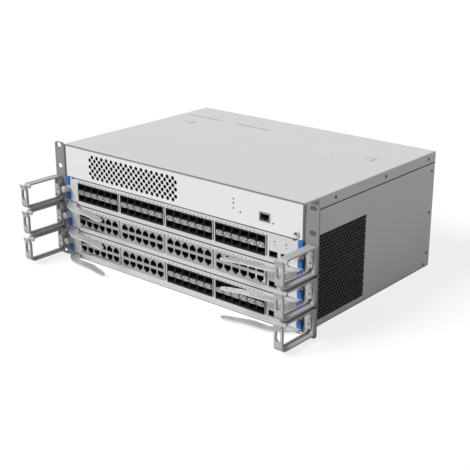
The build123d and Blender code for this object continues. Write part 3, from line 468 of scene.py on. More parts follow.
def front_flange():
    """Right flange behind the card tabs, with lever notches and screw holes."""
    outer = HALF - SHEET / 2
    notch = HALF - SHEET
    points = [(outer, FLANGE_LOW), (outer, FLANGE_TOP), (FLANGE_INNER, FLANGE_TOP)]
    for low in CARD_LOW.values():
        high = low + NOTCH_HIGH
        points += [(FLANGE_INNER, high), (notch, high), (notch, low), (FLANGE_INNER, low)]
    points.append((FLANGE_INNER, FLANGE_LOW))
    holes = [circle(SCREW_X, low + SCREW_Z, SCREW_HOLE_R) for low in CARD_LOW.values()]
    return placed(sheet(SHEET, outline(points), *holes), at(0, FRONT + RECESS, 0) @ FACING)


def chassis_shell():
    """Walls, floor, upper strips and flanges of the chassis."""
    step = (JOGGLE_INNER, FRONT + RECESS, WALL_TOP - SHEET)
    side = joined(
        perforated_wall(),
        front_flange(),
        block(step, (JOGGLE_INNER + SHEET, BACK, HIGH - 2 * SHEET)),
        block(step, (HALF, BACK, WALL_TOP)),
    )
    floor_sheet = block((-HALF, FRONT + 0.3, 0), (HALF, BACK, SHEET))
    return joined(floor_sheet, block((-HALF, FRONT, 0.95), (HALF, FRONT + SHEET, 3.2), 0.3), both(side))


piece("chassis_shell", chassis_shell(), "chassis", "shell_paint", ["chassis_tub"])
piece("air_grilles", air_grilles(), "chassis", "grille_shade_paint")
piece("air_shade_sheets", air_shade_sheets(), "chassis", "shade_black")

# Top cover

COVER_BEND = 2
COVER_EDGE = HALF - 6
SKIRT = 15.3
SLOT_X = (-170.5, -70.5)
SLOT_Y = FRONT + 258
LOCATOR_SPOTS = ((170, FRONT + 217), (-170, FRONT + 217))
COVER_HOLE = (116.6, FRONT + 201.4, 1.6)
# Screws on the right side and on the right half of the back: how far back or out, and how high
SIDE_SCREWS = (
    (64.6, 167.3), (182.5, 167.3), (295.5, 167.3), (307, 147.4), (307, 84.4), (307, 21.3), (299.4, 5.2),
)
BACK_SCREWS = ((212.5, 20), (212.5, 63), (212.5, 106), (212.5, 150))


def cover_edge():
    """Rounded right bend of the cover and its skirt, along the whole depth."""
    inner = HALF - SHEET
    points = [
        (COVER_EDGE, HIGH - SHEET), (COVER_EDGE, HIGH), (HALF, HIGH), (HALF, HIGH - SKIRT),
        (inner, HIGH - SKIRT), (inner, HIGH - SHEET),
    ]
    edge = sheet(BACK - FRONT, outline(points, (0, 0, COVER_BEND, 0.08, 0.08, 0.8)))
    return placed(edge, at(0, FRONT, 0) @ FACING)


def top_cover():
    """Lid with its slots and skirts."""
    lid = sheet(
        SHEET,
        rectangle(0, (FRONT + BACK) / 2, 2 * COVER_EDGE, BACK - FRONT),
        *[rectangle(x, SLOT_Y, 66, 3.6, corner=1.75, steps=4) for x in SLOT_X],
        circle(*COVER_HOLE, 12),
    )
    return joined(placed(lid, at(0, 0, HIGH)), both(cover_edge()))


def locators():
    """Raised outlines of triangles with rounded ends, for stacking, in a paint darker than the cover that
    paints the shading of their sides.
    """
    bm = sheet(
        0.6,
        outline([(-11, 0), (9, -9), (9, 9)], (1.5, 3, 3)),
        outline([(-8.4, 0), (7.8, -7.2), (7.8, 7.2)], (1, 2.6, 2.6)),
    )
    return repeated(bm, [at(x, y, HIGH + 0.55) for x, y in LOCATOR_SPOTS])


def slot_shade_strips():
    """Dark strips that close the cover's slots from below: painted shade that stands for the dark inside
    seen through the slots.
    """
    strip = block((-34, SLOT_Y - 3, HIGH - 2), (34, SLOT_Y + 3, HIGH - 0.2), 0.1)
    return repeated(strip, [at(x, 0, 0) for x in SLOT_X])


def screw_head(radius, height):
    """Low cross-recessed head, standing on the drawing plane."""
    head = turned(
        [(0, height), (radius * 0.7, height), (radius, height * 0.5), (radius, -0.4), (0, -0.4)], 20
    )
    near = radius * 0.13
    far = radius * 0.6
    points = [(far, -near), (far, near), (near, near), (near, far), (-near, far), (-near, near)]
    points += [(-x, -y) for x, y in points]
    return carved(head, placed(sheet(1.5, outline(points)), at(0, 0, height + 1)))


def cover_screws():
    """Screws and rivets along both sides, on the cover's skirts and on the back."""
    places = [at(HALF, FRONT + y, z) @ SIDEWAYS for y, z in SIDE_SCREWS]
    places += [at(x, BACK, z) @ BACKWARD for x, z in BACK_SCREWS]
    return both(repeated(screw_head(2.2, 0.5), places))


piece("top_cover_sheet", top_cover(), "chassis", "shell_paint", ["top_cover"])
piece("cover_locators", locators(), "chassis", "locator_shade_paint")
piece("cover_slot_shade_strips", slot_shade_strips(), "chassis", "ear_paint")
piece("cover_screws", cover_screws(), "chassis", "dark_zinc")

# Control panel

PANEL_HALF = 217.2
PANEL_FOLD = 12
PANEL_STRIP_TOP = 172.5
STATUS = [(x, PANEL_LOW + z) for x, z in ((106.5, 18.7), (106.5, 25.1), (106.5, 31.1), (171.5, 11.6))]
HOLE_ROWS = 7
HOLE_COLUMNS = 17
HOLE_PITCH = 10
HOLE_ROW = 5.03
HOLE_R = 2.95
HOLES_TOP = 164.2
RESET_HOLE = (118.2, PANEL_LOW + 15.1, 1.3)
CONSOLE = (158, PANEL_LOW + 17.2)
CONSOLE_WIDE = 18
CONSOLE_HIGH = 12.6
GROUND = (208.3, PANEL_LOW + 6.6)


def control_panel():
    """Folded front panel: a skin with all its holes, and behind it a sheet open around the air holes."""
    rim = rectangle(0, (PANEL_LOW + PANEL_HIGH) / 2, 2 * PANEL_HALF, PANEL_HIGH - PANEL_LOW, corner=0.5)
    holes = []
    for row in range(HOLE_ROWS):
        count = HOLE_COLUMNS + row % 2
        for column in range(count):
            x = PANEL_FIELD[0] + HOLE_PITCH * (column - (count - 1) / 2)
            holes.append(circle(x, HOLES_TOP - HOLE_ROW * row, HOLE_R))
    fittings = [
        *[circle(*spot, 1.5, 14) for spot in STATUS],
        circle(*RESET_HOLE, 14),
        rectangle(*CONSOLE, CONSOLE_WIDE + 0.4, CONSOLE_HIGH + 0.4, corner=0.4),
        circle(*GROUND, 3.6, 24),
    ]
    rest = placed(sheet(SHEET - SKIN, rim, rectangle(*PANEL_FIELD, corner=1), *fittings), at(0, 0, -SKIN))
    start = FRONT + 0.4
    end = FRONT + PANEL_FOLD
    lows = (PANEL_LOW, PANEL_HIGH - SHEET)
    folds = [block((-PANEL_HALF, start, z), (PANEL_HALF, end, z + SHEET), 0.3) for z in lows]
    sides = both(block((PANEL_HALF - SHEET, start, PANEL_LOW), (PANEL_HALF, end, PANEL_HIGH), 0.3))
    front = placed(joined(sheet(SKIN, rim, *holes, *fittings), rest), at(0, FRONT, 0) @ FACING)
    return joined(front, *folds, sides)


def light_pipes():
    """Domed ends of the light pipes, with their stems back to the board."""
    pipe = turned([(0, 0.5), (0.8, 0.4), (1.35, 0), (1.4, -0.5), (1.4, -20), (0, -20)], 16)
    return repeated(pipe, [at(x, FRONT, z) @ FACING for x, z in STATUS])


def front_shade_lips():
    """Hem along the cover's front edge, and the lip along the floor's, both in the darker ear paint as
    painted shade: the shadow line under the cover's edge and the dark line at the floor.
    """
    hem = block((-HALF + 0.1, FRONT - 0.5, 172.6), (HALF - 0.1, FRONT - 0.02, HIGH - 0.03), 0.15)
    return joined(hem, block((-HALF, FRONT - 0.1, 0), (HALF, FRONT + 0.25, 0.9), 0.1))


def side_gap_shade():
    """Dark strips in the gaps between the ears and the panel, and between the ears and the cards: painted
    shade that stands for the shadow in those gaps.
    """
    low = PANEL_LOW + 0.2
    outer = HALF + 0.1
    beside = block(
        (PANEL_HALF + 0.1, FRONT + 0.2, low), (HALF - SHEET - 0.1, FRONT + 1.9, PANEL_STRIP_TOP), 0.3
    )
    over = block((HALF - SHEET, FRONT - 0.3, low), (outer, FRONT - 0.02, PANEL_STRIP_TOP), 0.1)
    under = block((HALF - 0.5, FRONT + 0.2, 2.8), (outer, FRONT + 1.9, PANEL_LOW), 0.1)
    return both(joined(beside, over, under))


def console_parts():
    """Shielded frame, black insert with a keyed mouth, and eight contacts of the console jack."""
    wide = CONSOLE_WIDE
    high = CONSOLE_HIGH
    mouth = sheet(
        2, rectangle(0, 0, wide, high, corner=0.5), rectangle(0, 0, wide - 3.2, high - 2.6, corner=0.4)
    )
    shell = sheet(18, *[rectangle(0, 0, wide - less, high - less) for less in (0.4, 1.4)])
    points = [(-5.9, -2), (-2, -2), (-2, -4.2), (2, -4.2), (2, -2), (5.9, -2), (5.9, 4.4), (-5.9, 4.4)]
    insert = placed(sheet(13, rectangle(0, 0, wide - 1.6, high - 1.6), outline(points)), at(0, 0, -0.9))
    back = block((-8, -5.3, -19), (8, 5.3, -13))
    contact = block((-0.25, 3.2, -12), (0.25, 4, -1.5))
    contacts = repeated(contact, [at(1.1 * (k - 3.5), 0, 0) for k in range(8)])
    parts = (joined(mouth, placed(shell, at(0, 0, -1.9))), joined(insert, back), contacts)
    return [placed(part, at(CONSOLE[0], FRONT - 0.4, CONSOLE[1]) @ FACING) for part in parts]


def ground_socket():
    """Turned grounding socket with a rounded flange, a bore and a hexagonal nut behind the panel."""
    rim = [(2, 1.6), (2.4, 2), (4, 2), (4.5, 1.5), (4.5, 0), (3.4, 0), (3.4, -12)]
    flange = turned([(2, -11.9), *rim, (2, -11.9)], 32)
    nut = placed(sheet(4, circle(0, 0, 4.5, 6), circle(0, 0, 3.3, 24)), at(0, 0, -SHEET))
    return placed(joined(flange, nut), at(GROUND[0], FRONT, GROUND[1]) @ FACING)


piece("control_panel_front", control_panel(), "chassis", "panel_paint", ["control_panel"])
piece("status_light_pipes", light_pipes(), "chassis", "light_clear", ["status_lights"])
# painted shade: dark hem and floor strip for the shadow lines along the front's top and bottom
piece("front_shade_lips", front_shade_lips(), "chassis", "ear_paint")
piece("side_gap_shade", side_gap_shade(), "chassis", "gap_shade_dark")
console_frame, console_insert, console_contacts = console_parts()
piece("console_frame", console_frame, "chassis", "cage_steel", ["console_port"])
piece("console_insert", console_insert, "chassis", "moulded_black")
piece("console_contacts", console_contacts, "chassis", "contact_gold")
piece("ground_socket", ground_socket(), "chassis", "screw_steel", ["ground_jack"])

# Port blocks, drawn from the front plane and the lower edge of their card

PORT_PITCH = 13.87
PORTS_WIDE = 6 * PORT_PITCH
BLOCK_LEFTS = [-193.8 + 89.8 * k for k in range(4)]
BLOCK_WALL = 0.8
BLOCK_OUTER = PORTS_WIDE + 2 * BLOCK_WALL
BLOCK_DEPTH = 45
BOARD_TOP = 6.6
BLOCK_HIGH = 34.4
BLOCK_MIDDLE = (BOARD_TOP + BLOCK_HIGH) / 2
PORT_X = [BLOCK_WALL + PORT_PITCH * (column + 0.5) for column in range(6)]
CAGE_WIDE = 12.9
CAGE_MIDDLES = (12.35, 28.25)
JACK_BASES = ((19.2, -1), (23.6, 1))
JACK_STEPS = ((5.75, 0), (5.75, 5.6), (3.9, 5.6), (3.9, 7.2), (2, 7.2), (2, 9))
UPLINKS = (172.4, 191)
UPLINK_LOW = 8.4
UPLINK_HIGH = 7.7
UPLINK_TOP = 16.9
UPLINK_MIDDLE = (BOARD_TOP + UPLINK_TOP) / 2


def port_box(width, low, high, wall, depth):
    """Sleeve and back of a block of ports, seen from the front, its front edge in the drawing plane."""
    x = width / 2
    middle = (low + high) / 2
    sleeve = sheet(
        depth,
        rectangle(x, middle, width, high - low, corner=0.3),
        rectangle(x, middle, width - 2 * wall, high - low - 2 * wall),
    )
    return joined(sleeve, block((0, low, -depth - wall), (width, high, -depth + 0.1)))


def port_plate(mouths, thickness):
    """Plate over a block of ports, pierced by their mouths."""
    rim = rectangle(BLOCK_OUTER / 2, BLOCK_MIDDLE, BLOCK_OUTER, BLOCK_HIGH - BOARD_TOP, corner=0.2)
    return sheet(thickness, rim, *mouths)


def on_blocks(bm, kinds, kind):
    """One block's parts, copied to every block of that kind on a card."""
    lefts = [left for left, have in zip(BLOCK_LEFTS, kinds) if have == kind]
    return repeated(bm, [at(left - BLOCK_WALL, 0, 0) @ FACING for left in lefts])


def cage_bodies(kinds):
    """Cages of a card, open at the front, and the sleeves in its two single ones, all in a dark metal that
    paints the shade inside their pockets.
    """
    mouths = [rectangle(x, z, CAGE_WIDE, 8, corner=0.4, steps=2) for x in PORT_X for z in CAGE_MIDDLES]
    body = joined(
        placed(port_plate(mouths, 40), at(0, 0, -0.8)),
        port_box(BLOCK_OUTER, BOARD_TOP, BLOCK_HIGH, 0.5, BLOCK_DEPTH),
    )
    sleeve = port_box(CAGE_WIDE, UPLINK_LOW, UPLINK_LOW + UPLINK_HIGH, 0.3, 38)
    sleeves = repeated(sleeve, [at(x - CAGE_WIDE / 2, 0.8, 0) @ FACING for x in UPLINKS])
    return joined(on_blocks(body, kinds, "cage"), sleeves)


def latch_tabs():
    """Sprung tabs between the two rows of cages, each with a slanted fold and two round lugs."""
    points = [
        (-6.3, 17.5), (-2, 17), (2, 17), (6.3, 17.5), (6.3, 22.6), (3.2, 23.9), (-4.4, 23.9), (-6.3, 22.6),
    ]
    tab = sheet(
        1.2,
        outline(points, (0.5, 0.5, 0.5, 0.5, 0.9, 0.9, 0.9, 0.9), steps=3),
        rectangle(-4.3, 18.9, 2.2, 1.3, corner=0.5),
        rectangle(3.9, 20.4, 2, 2.6, corner=0.8),
        rectangle(-0.6, 22.6, 3.4, 0.9, corner=0.3),
    )
    slant = at(-3.4, 20.5, -0.2) @ Matrix.Rotation(-0.7, 4, "Z")
    fold = placed(block((-0.35, -3.4, 0), (0.35, 3.4, 0.9), 0.2), slant)
    lugs = repeated(block((-1.6, -0.8, 0), (1.6, 0.8, 1), 0.35), [at(2.4, z, -0.2) for z in (18.9, 22)])
    return joined(tab, fold, lugs, block((-6.9, 17.2, -3), (6.9, 23.4, -1)))


def cage_fronts(kinds):
    """Light metal on the cages: the tabs between the rows and the frames of the single ones."""
    tabs = repeated(latch_tabs(), [at(x, 0, 0.2) for x in PORT_X])
    single = sheet(
        44,
        rectangle(0, UPLINK_MIDDLE, 14.5, UPLINK_TOP - BOARD_TOP, corner=0.4),
        rectangle(0, UPLINK_LOW + UPLINK_HIGH / 2, CAGE_WIDE, UPLINK_HIGH, corner=0.4, steps=2),
    )
    return joined(on_blocks(tabs, kinds, "cage"), repeated(single, [at(x, 0, 0) @ FACING for x in UPLINKS]))


def jack_line(x, base, sign, spare):
    """Mouth of a wired port: a body with a stepped notch for the latch, drawn up or down from its base."""
    heights = [rise - spare if rise else spare for half, rise in JACK_STEPS]
    points = [(x + half - spare, base + sign * high) for (half, rise), high in zip(JACK_STEPS, heights)]
    points += [(2 * x - right, z) for right, z in reversed(points)]
    return outline(points if sign > 0 else points[::-1])


def jack_mouths(spare=0):
    """Mouths of two rows of wired ports, latch to latch outwards."""
    return [jack_line(x, base, sign, spare) for x in PORT_X for base, sign in JACK_BASES]


def jack_shields(kinds):
    """Polished shields around the wired ports of a card."""
    box = placed(port_box(BLOCK_OUTER, BOARD_TOP, BLOCK_HIGH, 0.4, BLOCK_DEPTH), at(0, 0, -0.4))
    return on_blocks(joined(port_plate(jack_mouths(), 0.5), box), kinds, "jack")


def jack_bodies(kinds):
    """Black housings inside the shields, with the ports' pockets."""
    rim = rectangle(BLOCK_OUTER / 2, BLOCK_MIDDLE, BLOCK_OUTER - 1, BLOCK_HIGH - BOARD_TOP - 1)
    body = sheet(13, rim, *jack_mouths(spare=0.15))
    back = block((0.6, BOARD_TOP + 0.6, -44), (BLOCK_OUTER - 0.6, BLOCK_HIGH - 0.6, -12.9))
    return on_blocks(placed(joined(body, back), at(0, 0, -0.5)), kinds, "jack")


def jack_contacts(kinds):
    """Eight spring contacts in every wired port of a card."""
    wires = [
        at(x + 1.02 * (wire - 3.5), base + sign, 0)
        for x in PORT_X for base, sign in JACK_BASES for wire in range(8)
    ]
    return on_blocks(repeated(block((-0.2, -0.3, -12.5), (0.2, 0.3, -7)), wires), kinds, "jack")


# Card fronts, drawn in the same place

PLATE = 1.5
PLATE_HALF = 211.5
PLATE_TOP = 39.7
TAB_HALF = 219.6
TAB_LOW = 16.6
TAB_TOP = 28
CORNER_X = 195
CORNER_Z = 4
STRIP_X = PORTS_WIDE + 2.9
STRIP_Z = 21.8


def faceplate(kinds):
    """Card front with its port openings, screw tabs and cut corners."""
    half = [
        (CORNER_X, CORNER_Z), (PLATE_HALF, CORNER_Z), (PLATE_HALF, TAB_LOW), (TAB_HALF, TAB_LOW),
        (TAB_HALF, TAB_TOP), (PLATE_HALF, TAB_TOP), (PLATE_HALF, PLATE_TOP), (208, PLATE_TOP),
        (207, 38.2), (203, 38.2), (202, PLATE_TOP),
    ]
    points = [(CORNER_X, 0.7)] + half + [(-x, z) for x, z in reversed(half)] + [(-CORNER_X, 0.7)]
    turns = (0.4, 1.5, 0.6, 0, 1, 1, 0, 0.6, 0.3, 0.3, 0.3, 0.3)
    lines = [outline(points, turns + turns[::-1], steps=3)]
    for left in BLOCK_LEFTS:
        middle = left + PORTS_WIDE / 2
        lines.append(rectangle(middle, BLOCK_MIDDLE, BLOCK_OUTER + 0.2, BLOCK_HIGH - BOARD_TOP + 0.2))
        lines.append(rectangle(left + STRIP_X, STRIP_Z, 2.8, 28.4, corner=1.3, steps=4))
    for x in UPLINKS:
        lines.append(rectangle(x, UPLINK_MIDDLE, 14.7, UPLINK_TOP - BOARD_TOP + 0.2))
        lines.append(circle(x + 1.9, 29.6, 1.15, 12))
    if kinds[0] == "jack":
        lines.append(circle(BLOCK_LEFTS[0] - 5.6, 20, 1.3, 12))
    lines += [circle(side * SCREW_X, SCREW_Z, SCREW_HOLE_R) for side in SIDES.values()]
    fold = block((PLATE_HALF - 0.1, -0.6, 2.9), (TAB_HALF - 0.1, PLATE, 4.8), 0.3)
    return joined(placed(sheet(PLATE, *lines), FACING), both(fold))


def port_marks():
    """Triangular lights over the ports, by turns upright and upside down, and those of the single ports."""
    mark = sheet(0.4, circle(0, 0, 1.6, 3, math.radians(90)))
    places = []
    for left in BLOCK_LEFTS:
        for column in range(12):
            turn = Matrix.Rotation(math.pi * (column % 2), 4, "Z")
            places.append(at(left + PORT_PITCH / 2 * (column + 0.5), -0.12, 36.4) @ FACING @ turn)
    dashes = [block((x + 0.7, -0.12, 24.5), (x + 3.1, 0.3, 25.7)) for x in UPLINKS]
    return joined(repeated(mark, places), *dashes)


def block_strips():
    """Light guides with round ends, in the slots to the right of each block of ports."""
    strip = sheet(3, rectangle(STRIP_X, STRIP_Z, 2.6, 28.2, corner=1.25, steps=4))
    return repeated(strip, [at(left, 0.4, 0) @ FACING for left in BLOCK_LEFTS])


def seam_shade_strip():
    """Dark strip along the card's upper edge, painted shade for the seam between cards, and a dark back-up
    behind the small holes that paints the shade seen through them.
    """
    strip = block((-208, 0.5, 39.3), (208, 4, 40.9), 0.2)
    return joined(strip, block((165, 2.2, 23), (200, 3.2, 33), 0.2))


def trims():
    """Coloured end pieces over and under each screw tab."""
    heights = ((4.6, 16.4), (28.2, 40.3))
    return both(joined(*[block((211.7, -2, low), (TAB_HALF, 1.9, top), 0.9, 3) for low, top in heights]))


PIN_X = 207
LEVER_POINTS = (
    (-9.5, 0.5), (4.5, 16), (22, 25.8), (38.5, 27.4), (62, 29.2), (80, 33.4), (92.5, 35.4), (96.5, 31.8),
    (94, 28), (87, 24.6), (70.5, 19.8), (56, 14.7), (24.4, 14.5), (17.5, 9.2), (10.5, 0.5), (7, -12),
    (-7, -12),
)
LEVER_ROUNDING = (2, 3, 6, 3, 6, 5, 2.6, 2, 2, 3, 4, 5, 3, 3, 3, 4, 4)
SCREW_PROFILE = (
    (0, 11.3), (3.6, 11.3), (4.3, 10.9), (4.5, 10.2), (4.5, 3.9), (3.4, 3.7), (3.4, 1.6), (4, 1.3), (4, 0.3),
    (2.3, 0.3), (2.3, -8.4), (1.8, -9), (0, -9),
)


def lever(side):
    """Flat lever with smooth edges, curving outwards to a rounded tip, and the hole for its pin."""
    blade = sheet(2, outline(LEVER_POINTS, LEVER_ROUNDING), circle(0, -6, 3.05, 24))
    return placed(blade, at(side * PIN_X, 0, 2.3) @ Matrix.Diagonal((-side, -1, 1, 1)))


def knurled(bm):
    """Round line with fine teeth."""
    bmesh.ops.create_circle(bm, segments=60, radius=4.95, matrix=Matrix.Identity(4))
    bmesh.ops.scale(bm, vec=(0.95, 0.95, 1), verts=bm.verts[:][::2])


def captive_screw(side):
    """Knurled knob with a slotted end, a groove and its shank."""
    grip = placed(sheet(6.2, knurled), at(0, 0, 10.4))
    core = carved(turned(SCREW_PROFILE, 32), block((-5, -0.45, 10.2), (5, 0.45, 12)))
    return placed(joined(grip, core), at(side * SCREW_X, 0, SCREW_Z) @ FACING)


# What stands on a card's board: all of it low enough to pass under the card above

SINK_SPOTS = ((0, 150), (-110, 150), (110, 150))
CAN_X = (-180, -170, -160, 160, 170, 180, 26, 36, -26, -36)
COIL_X = (-180, -164, 164, 180, 60, -60)


def heat_sinks():
    """Finned heat sinks over the three large chips."""
    base = block((-26, -26, 3), (26, 26, 6), 0.4)
    fin = block((-0.5, -26, 5.9), (0.5, 26, 19), 0.15)
    sink = joined(base, repeated(fin, [at(4 * (k - 6), 0, 0) for k in range(13)]))
    return repeated(sink, [at(x, y, BOARD_TOP) for x, y in SINK_SPOTS])


def chips():
    """Flat black packages: the large ones under the heat sinks, port drivers and memories."""
    large = repeated(block((-22, -22, 0), (22, 22, 3.1), 0.3), [at(x, y, BOARD_TOP) for x, y in SINK_SPOTS])
    drivers = [at(-182 + 52 * k, 66, BOARD_TOP) for k in range(8)]
    small = repeated(block((-9, -9, 0), (9, 9, 1.6), 0.3), drivers)
    memories = [at(middle + 14 * k, 112, BOARD_TOP) for middle in (-60, 60) for k in (-1, 0, 1)]
    return joined(large, small, repeated(block((-5, -7, 0), (5, 7, 1.2), 0.2), memories))


def cans():
    """Capacitor cans and square coils of the card's supply, near its back edge."""
    profile = [(0, 10.5), (3.2, 10.5), (3.9, 9.9), (4, 9), (4, 1.6), (3.6, 1.2), (4, 0.8), (4, 0), (0, 0)]
    can = turned(profile, 20)
    coil = block((-6, -6, 0), (6, 6, 6), 0.8, 3)
    return joined(
        repeated(can, [at(x, 196, BOARD_TOP) for x in CAN_X]),
        repeated(coil, [at(x, 178, BOARD_TOP) for x in COIL_X]),
    )


def card_piece(number, label, bm, look, node=None):
    """Piece of one card, moved to its place in the chassis."""
    card = f"card_{number}"
    nodes = [f"{card}_{node}"] if node else ()
    piece(f"{card}_{label}", placed(bm, at(0, FRONT, CARD_LOW[number])), card, look, nodes)


for number, kinds in CARD_KINDS.items():
    card_piece(number, "front", faceplate(kinds), "card_paint", "faceplate")
    card_piece(number, "cage_rows", cage_bodies(kinds), "cage_shade_dark", "cages")
    card_piece(number, "latch_tabs", cage_fronts(kinds), "cage_steel")
    if "jack" in kinds:
        card_piece(number, "jack_shields", jack_shields(kinds), "jack_shield", "jacks")
        card_piece(number, "jack_bodies", jack_bodies(kinds), "moulded_black")
        card_piece(number, "jack_contacts", jack_contacts(kinds), "contact_gold")
    card_piece(number, "trims", trims(), "trim_blue", "end_trims")
    card_piece(number, "marks", port_marks(), "mark_grey")
    card_piece(number, "strips", block_strips(), "strip_grey")
    card_piece(number, "seam_shade_strip", seam_shade_strip(), "seam_shade_dark")
    card_piece(number, "heat_sinks", heat_sinks(), "zinc_sheet")
    card_piece(number, "chips", chips(), "moulded_black")
    card_piece(number, "cans", cans(), "screw_steel")
    place = at(0, FRONT, CARD_LOW[number])
    for side_name, side in SIDES.items():
        body = f"card_{number}_{side_name}_lever"
        piece(f"{body}_arm", placed(lever(side), place), body, "lever_steel", [body], 0.4)
        body = f"card_{number}_{side_name}_screw"
        piece(f"{body}_knob", placed(captive_screw(side), place), body, "screw_steel", [body])

# Rack ears and cable rings

RACK_HALF = 241.3
EAR_BEND = 3.2
EAR_HIGH = 175.6
EAR_SHEET = 2
EAR_LEG = 26
EAR_SLOT_X = 232.55
EAR_SLOT_Z = (5.95, 37.7, 139.3, 171.05)
RING_X = 234.4
RING_SIDE_POINTS = (
    (0, 2.6), (68.75, 2.6), (68.75, 33.6), (71, 39.6), (69.2, 39.6), (65.15, 33.6), (65.15, 4.8), (2, 4.8),
    (2, 37.5), (60.65, 37.5), (60.65, 33.6), (62.75, 33.6), (62.75, 39.6), (0, 39.6),
)
RING_SIDE_ROUNDING = (7, 8, 3, 0.8, 0.8, 3, 5.5, 5, 6, 3, 0.9, 0.9, 5, 3.5)
RING_RIB_POINTS = ((64, 4.6), (64, 7.4), (4.5, 7.4), (3, 19), (1.5, 19), (1.5, 4.6))


def rack_ear(side):
    """Ear with rounded corners and four rack slots, bent round to its leg along the wall."""
    inner = HALF + 0.1
    flat = inner + EAR_BEND
    corners = [(flat, 0), (RACK_HALF, 0), (RACK_HALF, EAR_HIGH), (flat, EAR_HIGH)]
    slots = [rectangle(EAR_SLOT_X, z, 10.6, 6.8, corner=3.35, steps=6) for z in EAR_SLOT_Z]
    plate = placed(sheet(EAR_SHEET, outline(corners, (0, 4, 4, 0)), *slots), at(0, FRONT, 0) @ FACING)
    leg = inner + EAR_SHEET
    back = FRONT + EAR_SHEET
    points = [
        (flat + 0.01, FRONT), (inner, FRONT), (inner, FRONT + EAR_LEG), (leg, FRONT + EAR_LEG), (leg, back),
        (flat + 0.01, back),
    ]
    rounding = (0, EAR_BEND - 0.1, 0.3, 0.3, EAR_BEND - 2.1, 0)
    bend = placed(sheet(172.8, outline(points, rounding, steps=6)), at(0, 0, 173))
    return placed(joined(plate, bend), mirrored(side))


def ring_part(x, thickness, points, rounding, steps=7):
    """Part of a ring, drawn from its side, with its outer face at x."""
    return placed(sheet(thickness, outline(points, rounding, steps)), at(x, 0, 0) @ SIDEWAYS)


def cable_ring(side, card):
    """Open ring beside a card: a broad band with a slot, a rib, a boss with a screw hole, and a rim."""
    slot = placed(sheet(12, rectangle(0, 24, 7.5, 15.6, corner=3.7, steps=6)), at(0, 62, 0) @ FACING)
    band = carved(ring_part(6.35, 12.7, RING_SIDE_POINTS, RING_SIDE_ROUNDING), slot)
    rib = ring_part(-1.5, 1.6, RING_RIB_POINTS, (0, 0, 10, 0, 0, 0))
    hole = placed(turned([(0, 4), (1.5, 4), (1.5, -4), (0, -4)], 16), at(0, 6.2, 18) @ FACING)
    boss = ring_part(3.4, 9.2, [(1.5, 11), (6.2, 11), (6.2, 26.5), (1.5, 26.5)], (0, 1.2, 1.2, 0), 3)
    rim = ring_part(6.3, 1.9, [(1, 3), (5.6, 3), (5.6, 39.2), (1, 39.2)], (0, 2.5, 2.5, 0), 5)
    place = at(side * RING_X, FRONT, CARD_LOW[card]) @ Matrix.Diagonal((side, -1, 1, 1))
    return placed(joined(band, rib, carved(boss, hole), rim), place)


for side_name, side in SIDES.items():
    ear = f"{side_name}_ear"
    piece(f"{ear}_plate", rack_ear(side), "chassis", "ear_paint", [ear])
    for number in CARD_LOW:
        node = f"{side_name}_ring_{number}"
        ring = cable_ring(side, number)
        piece(f"{side_name}_cable_ring_{number}", ring, "chassis", "ring_grey", [node], 0.5)

# Fan tray, its rotors and the power modules at the back

TRAY_HALF = 202
TRAY_LOW = 1.5
TRAY_HIGH = 124.5
TRAY_MIDDLE = (TRAY_LOW + TRAY_HIGH) / 2
TRAY_TALL = TRAY_HIGH - TRAY_LOW
TRAY_DEPTH = 42
FANS = (-95, 95)
FAN_R = 53.4
FAN_SCREW_R = 61.5
FAN_BLADES = 7
HUB_R = 20
GUARD_RINGS = (27.5, 34.5, 41.5, 48.5)
DIAGONALS = [math.radians(45 + 90 * step) for step in range(4)]
FAN_SCREWS = [
    (x + FAN_SCREW_R * math.cos(turn), TRAY_MIDDLE + FAN_SCREW_R * math.sin(turn))
    for x in FANS for turn in DIAGONALS
]
PULL_REACH = 16.8
PULL_BAR = 5


def pull(x, z, span, width):
    """Bent pull with round bends, standing out from the back."""
    far = PULL_REACH
    near = PULL_REACH - PULL_BAR
    top = span - PULL_BAR
    low = PULL_BAR
    points = [(0, 0), (far, 0), (far, span), (0, span), (0, top), (near, top), (near, low), (0, low)]
    bar = sheet(width, outline(points, (0, 6, 6, 0, 0, 2.5, 2.5, 0), steps=6))
    return placed(bar, at(x + width / 2, REAR, z - span / 2) @ SIDEWAYS)


def fan_guard(x):
    """Laser-cut guard of one fan: four rings, a middle and four arms."""
    rings = [sheet(1, circle(0, 0, r + 1.1, 64), circle(0, 0, r - 1.1, 64)) for r in GUARD_RINGS]
    arm = block((HUB_R - 1, -2.5, -1.15), (FAN_R + 0.5, 2.5, -0.05))
    arms = repeated(arm, [Matrix.Rotation(math.radians(90 * step), 4, "Z") for step in range(4)])
    guard = joined(placed(joined(*rings), at(0, 0, -0.1)), sheet(SHEET, circle(0, 0, HUB_R, 48)), arms)
    return placed(guard, at(x, REAR, TRAY_MIDDLE) @ BACKWARD)


def fan_tray_case():
    """Tray with its back plate, round fan openings and guards."""
    lines = [rectangle(0, TRAY_MIDDLE, 2 * TRAY_HALF + 8, TRAY_TALL, corner=1.5)]
    lines += [circle(x, TRAY_MIDDLE, FAN_R, 72) for x in FANS]
    lines += [circle(x, z, 2.2, 14) for x, z in FAN_SCREWS]
    plate = placed(sheet(SHEET, *lines), at(0, REAR, 0) @ BACKWARD)
    walls = sheet(
        TRAY_DEPTH,
        rectangle(0, TRAY_MIDDLE, 2 * TRAY_HALF, TRAY_TALL),
        rectangle(0, TRAY_MIDDLE, 2 * (TRAY_HALF - SHEET), TRAY_TALL - 2 * SHEET),
    )
    return joined(plate, *map(fan_guard, FANS), placed(walls, at(0, BACK - TRAY_DEPTH, 0) @ FACING))


def fan_frames():
    """Square moulded frames of the fans, round inside."""
    frame_ring = sheet(30, rectangle(0, 0, 119, 119, corner=5), circle(0, 0, 52.4, 72))
    return repeated(frame_ring, [at(x, BACK - 0.3, TRAY_MIDDLE) @ BACKWARD for x in FANS])


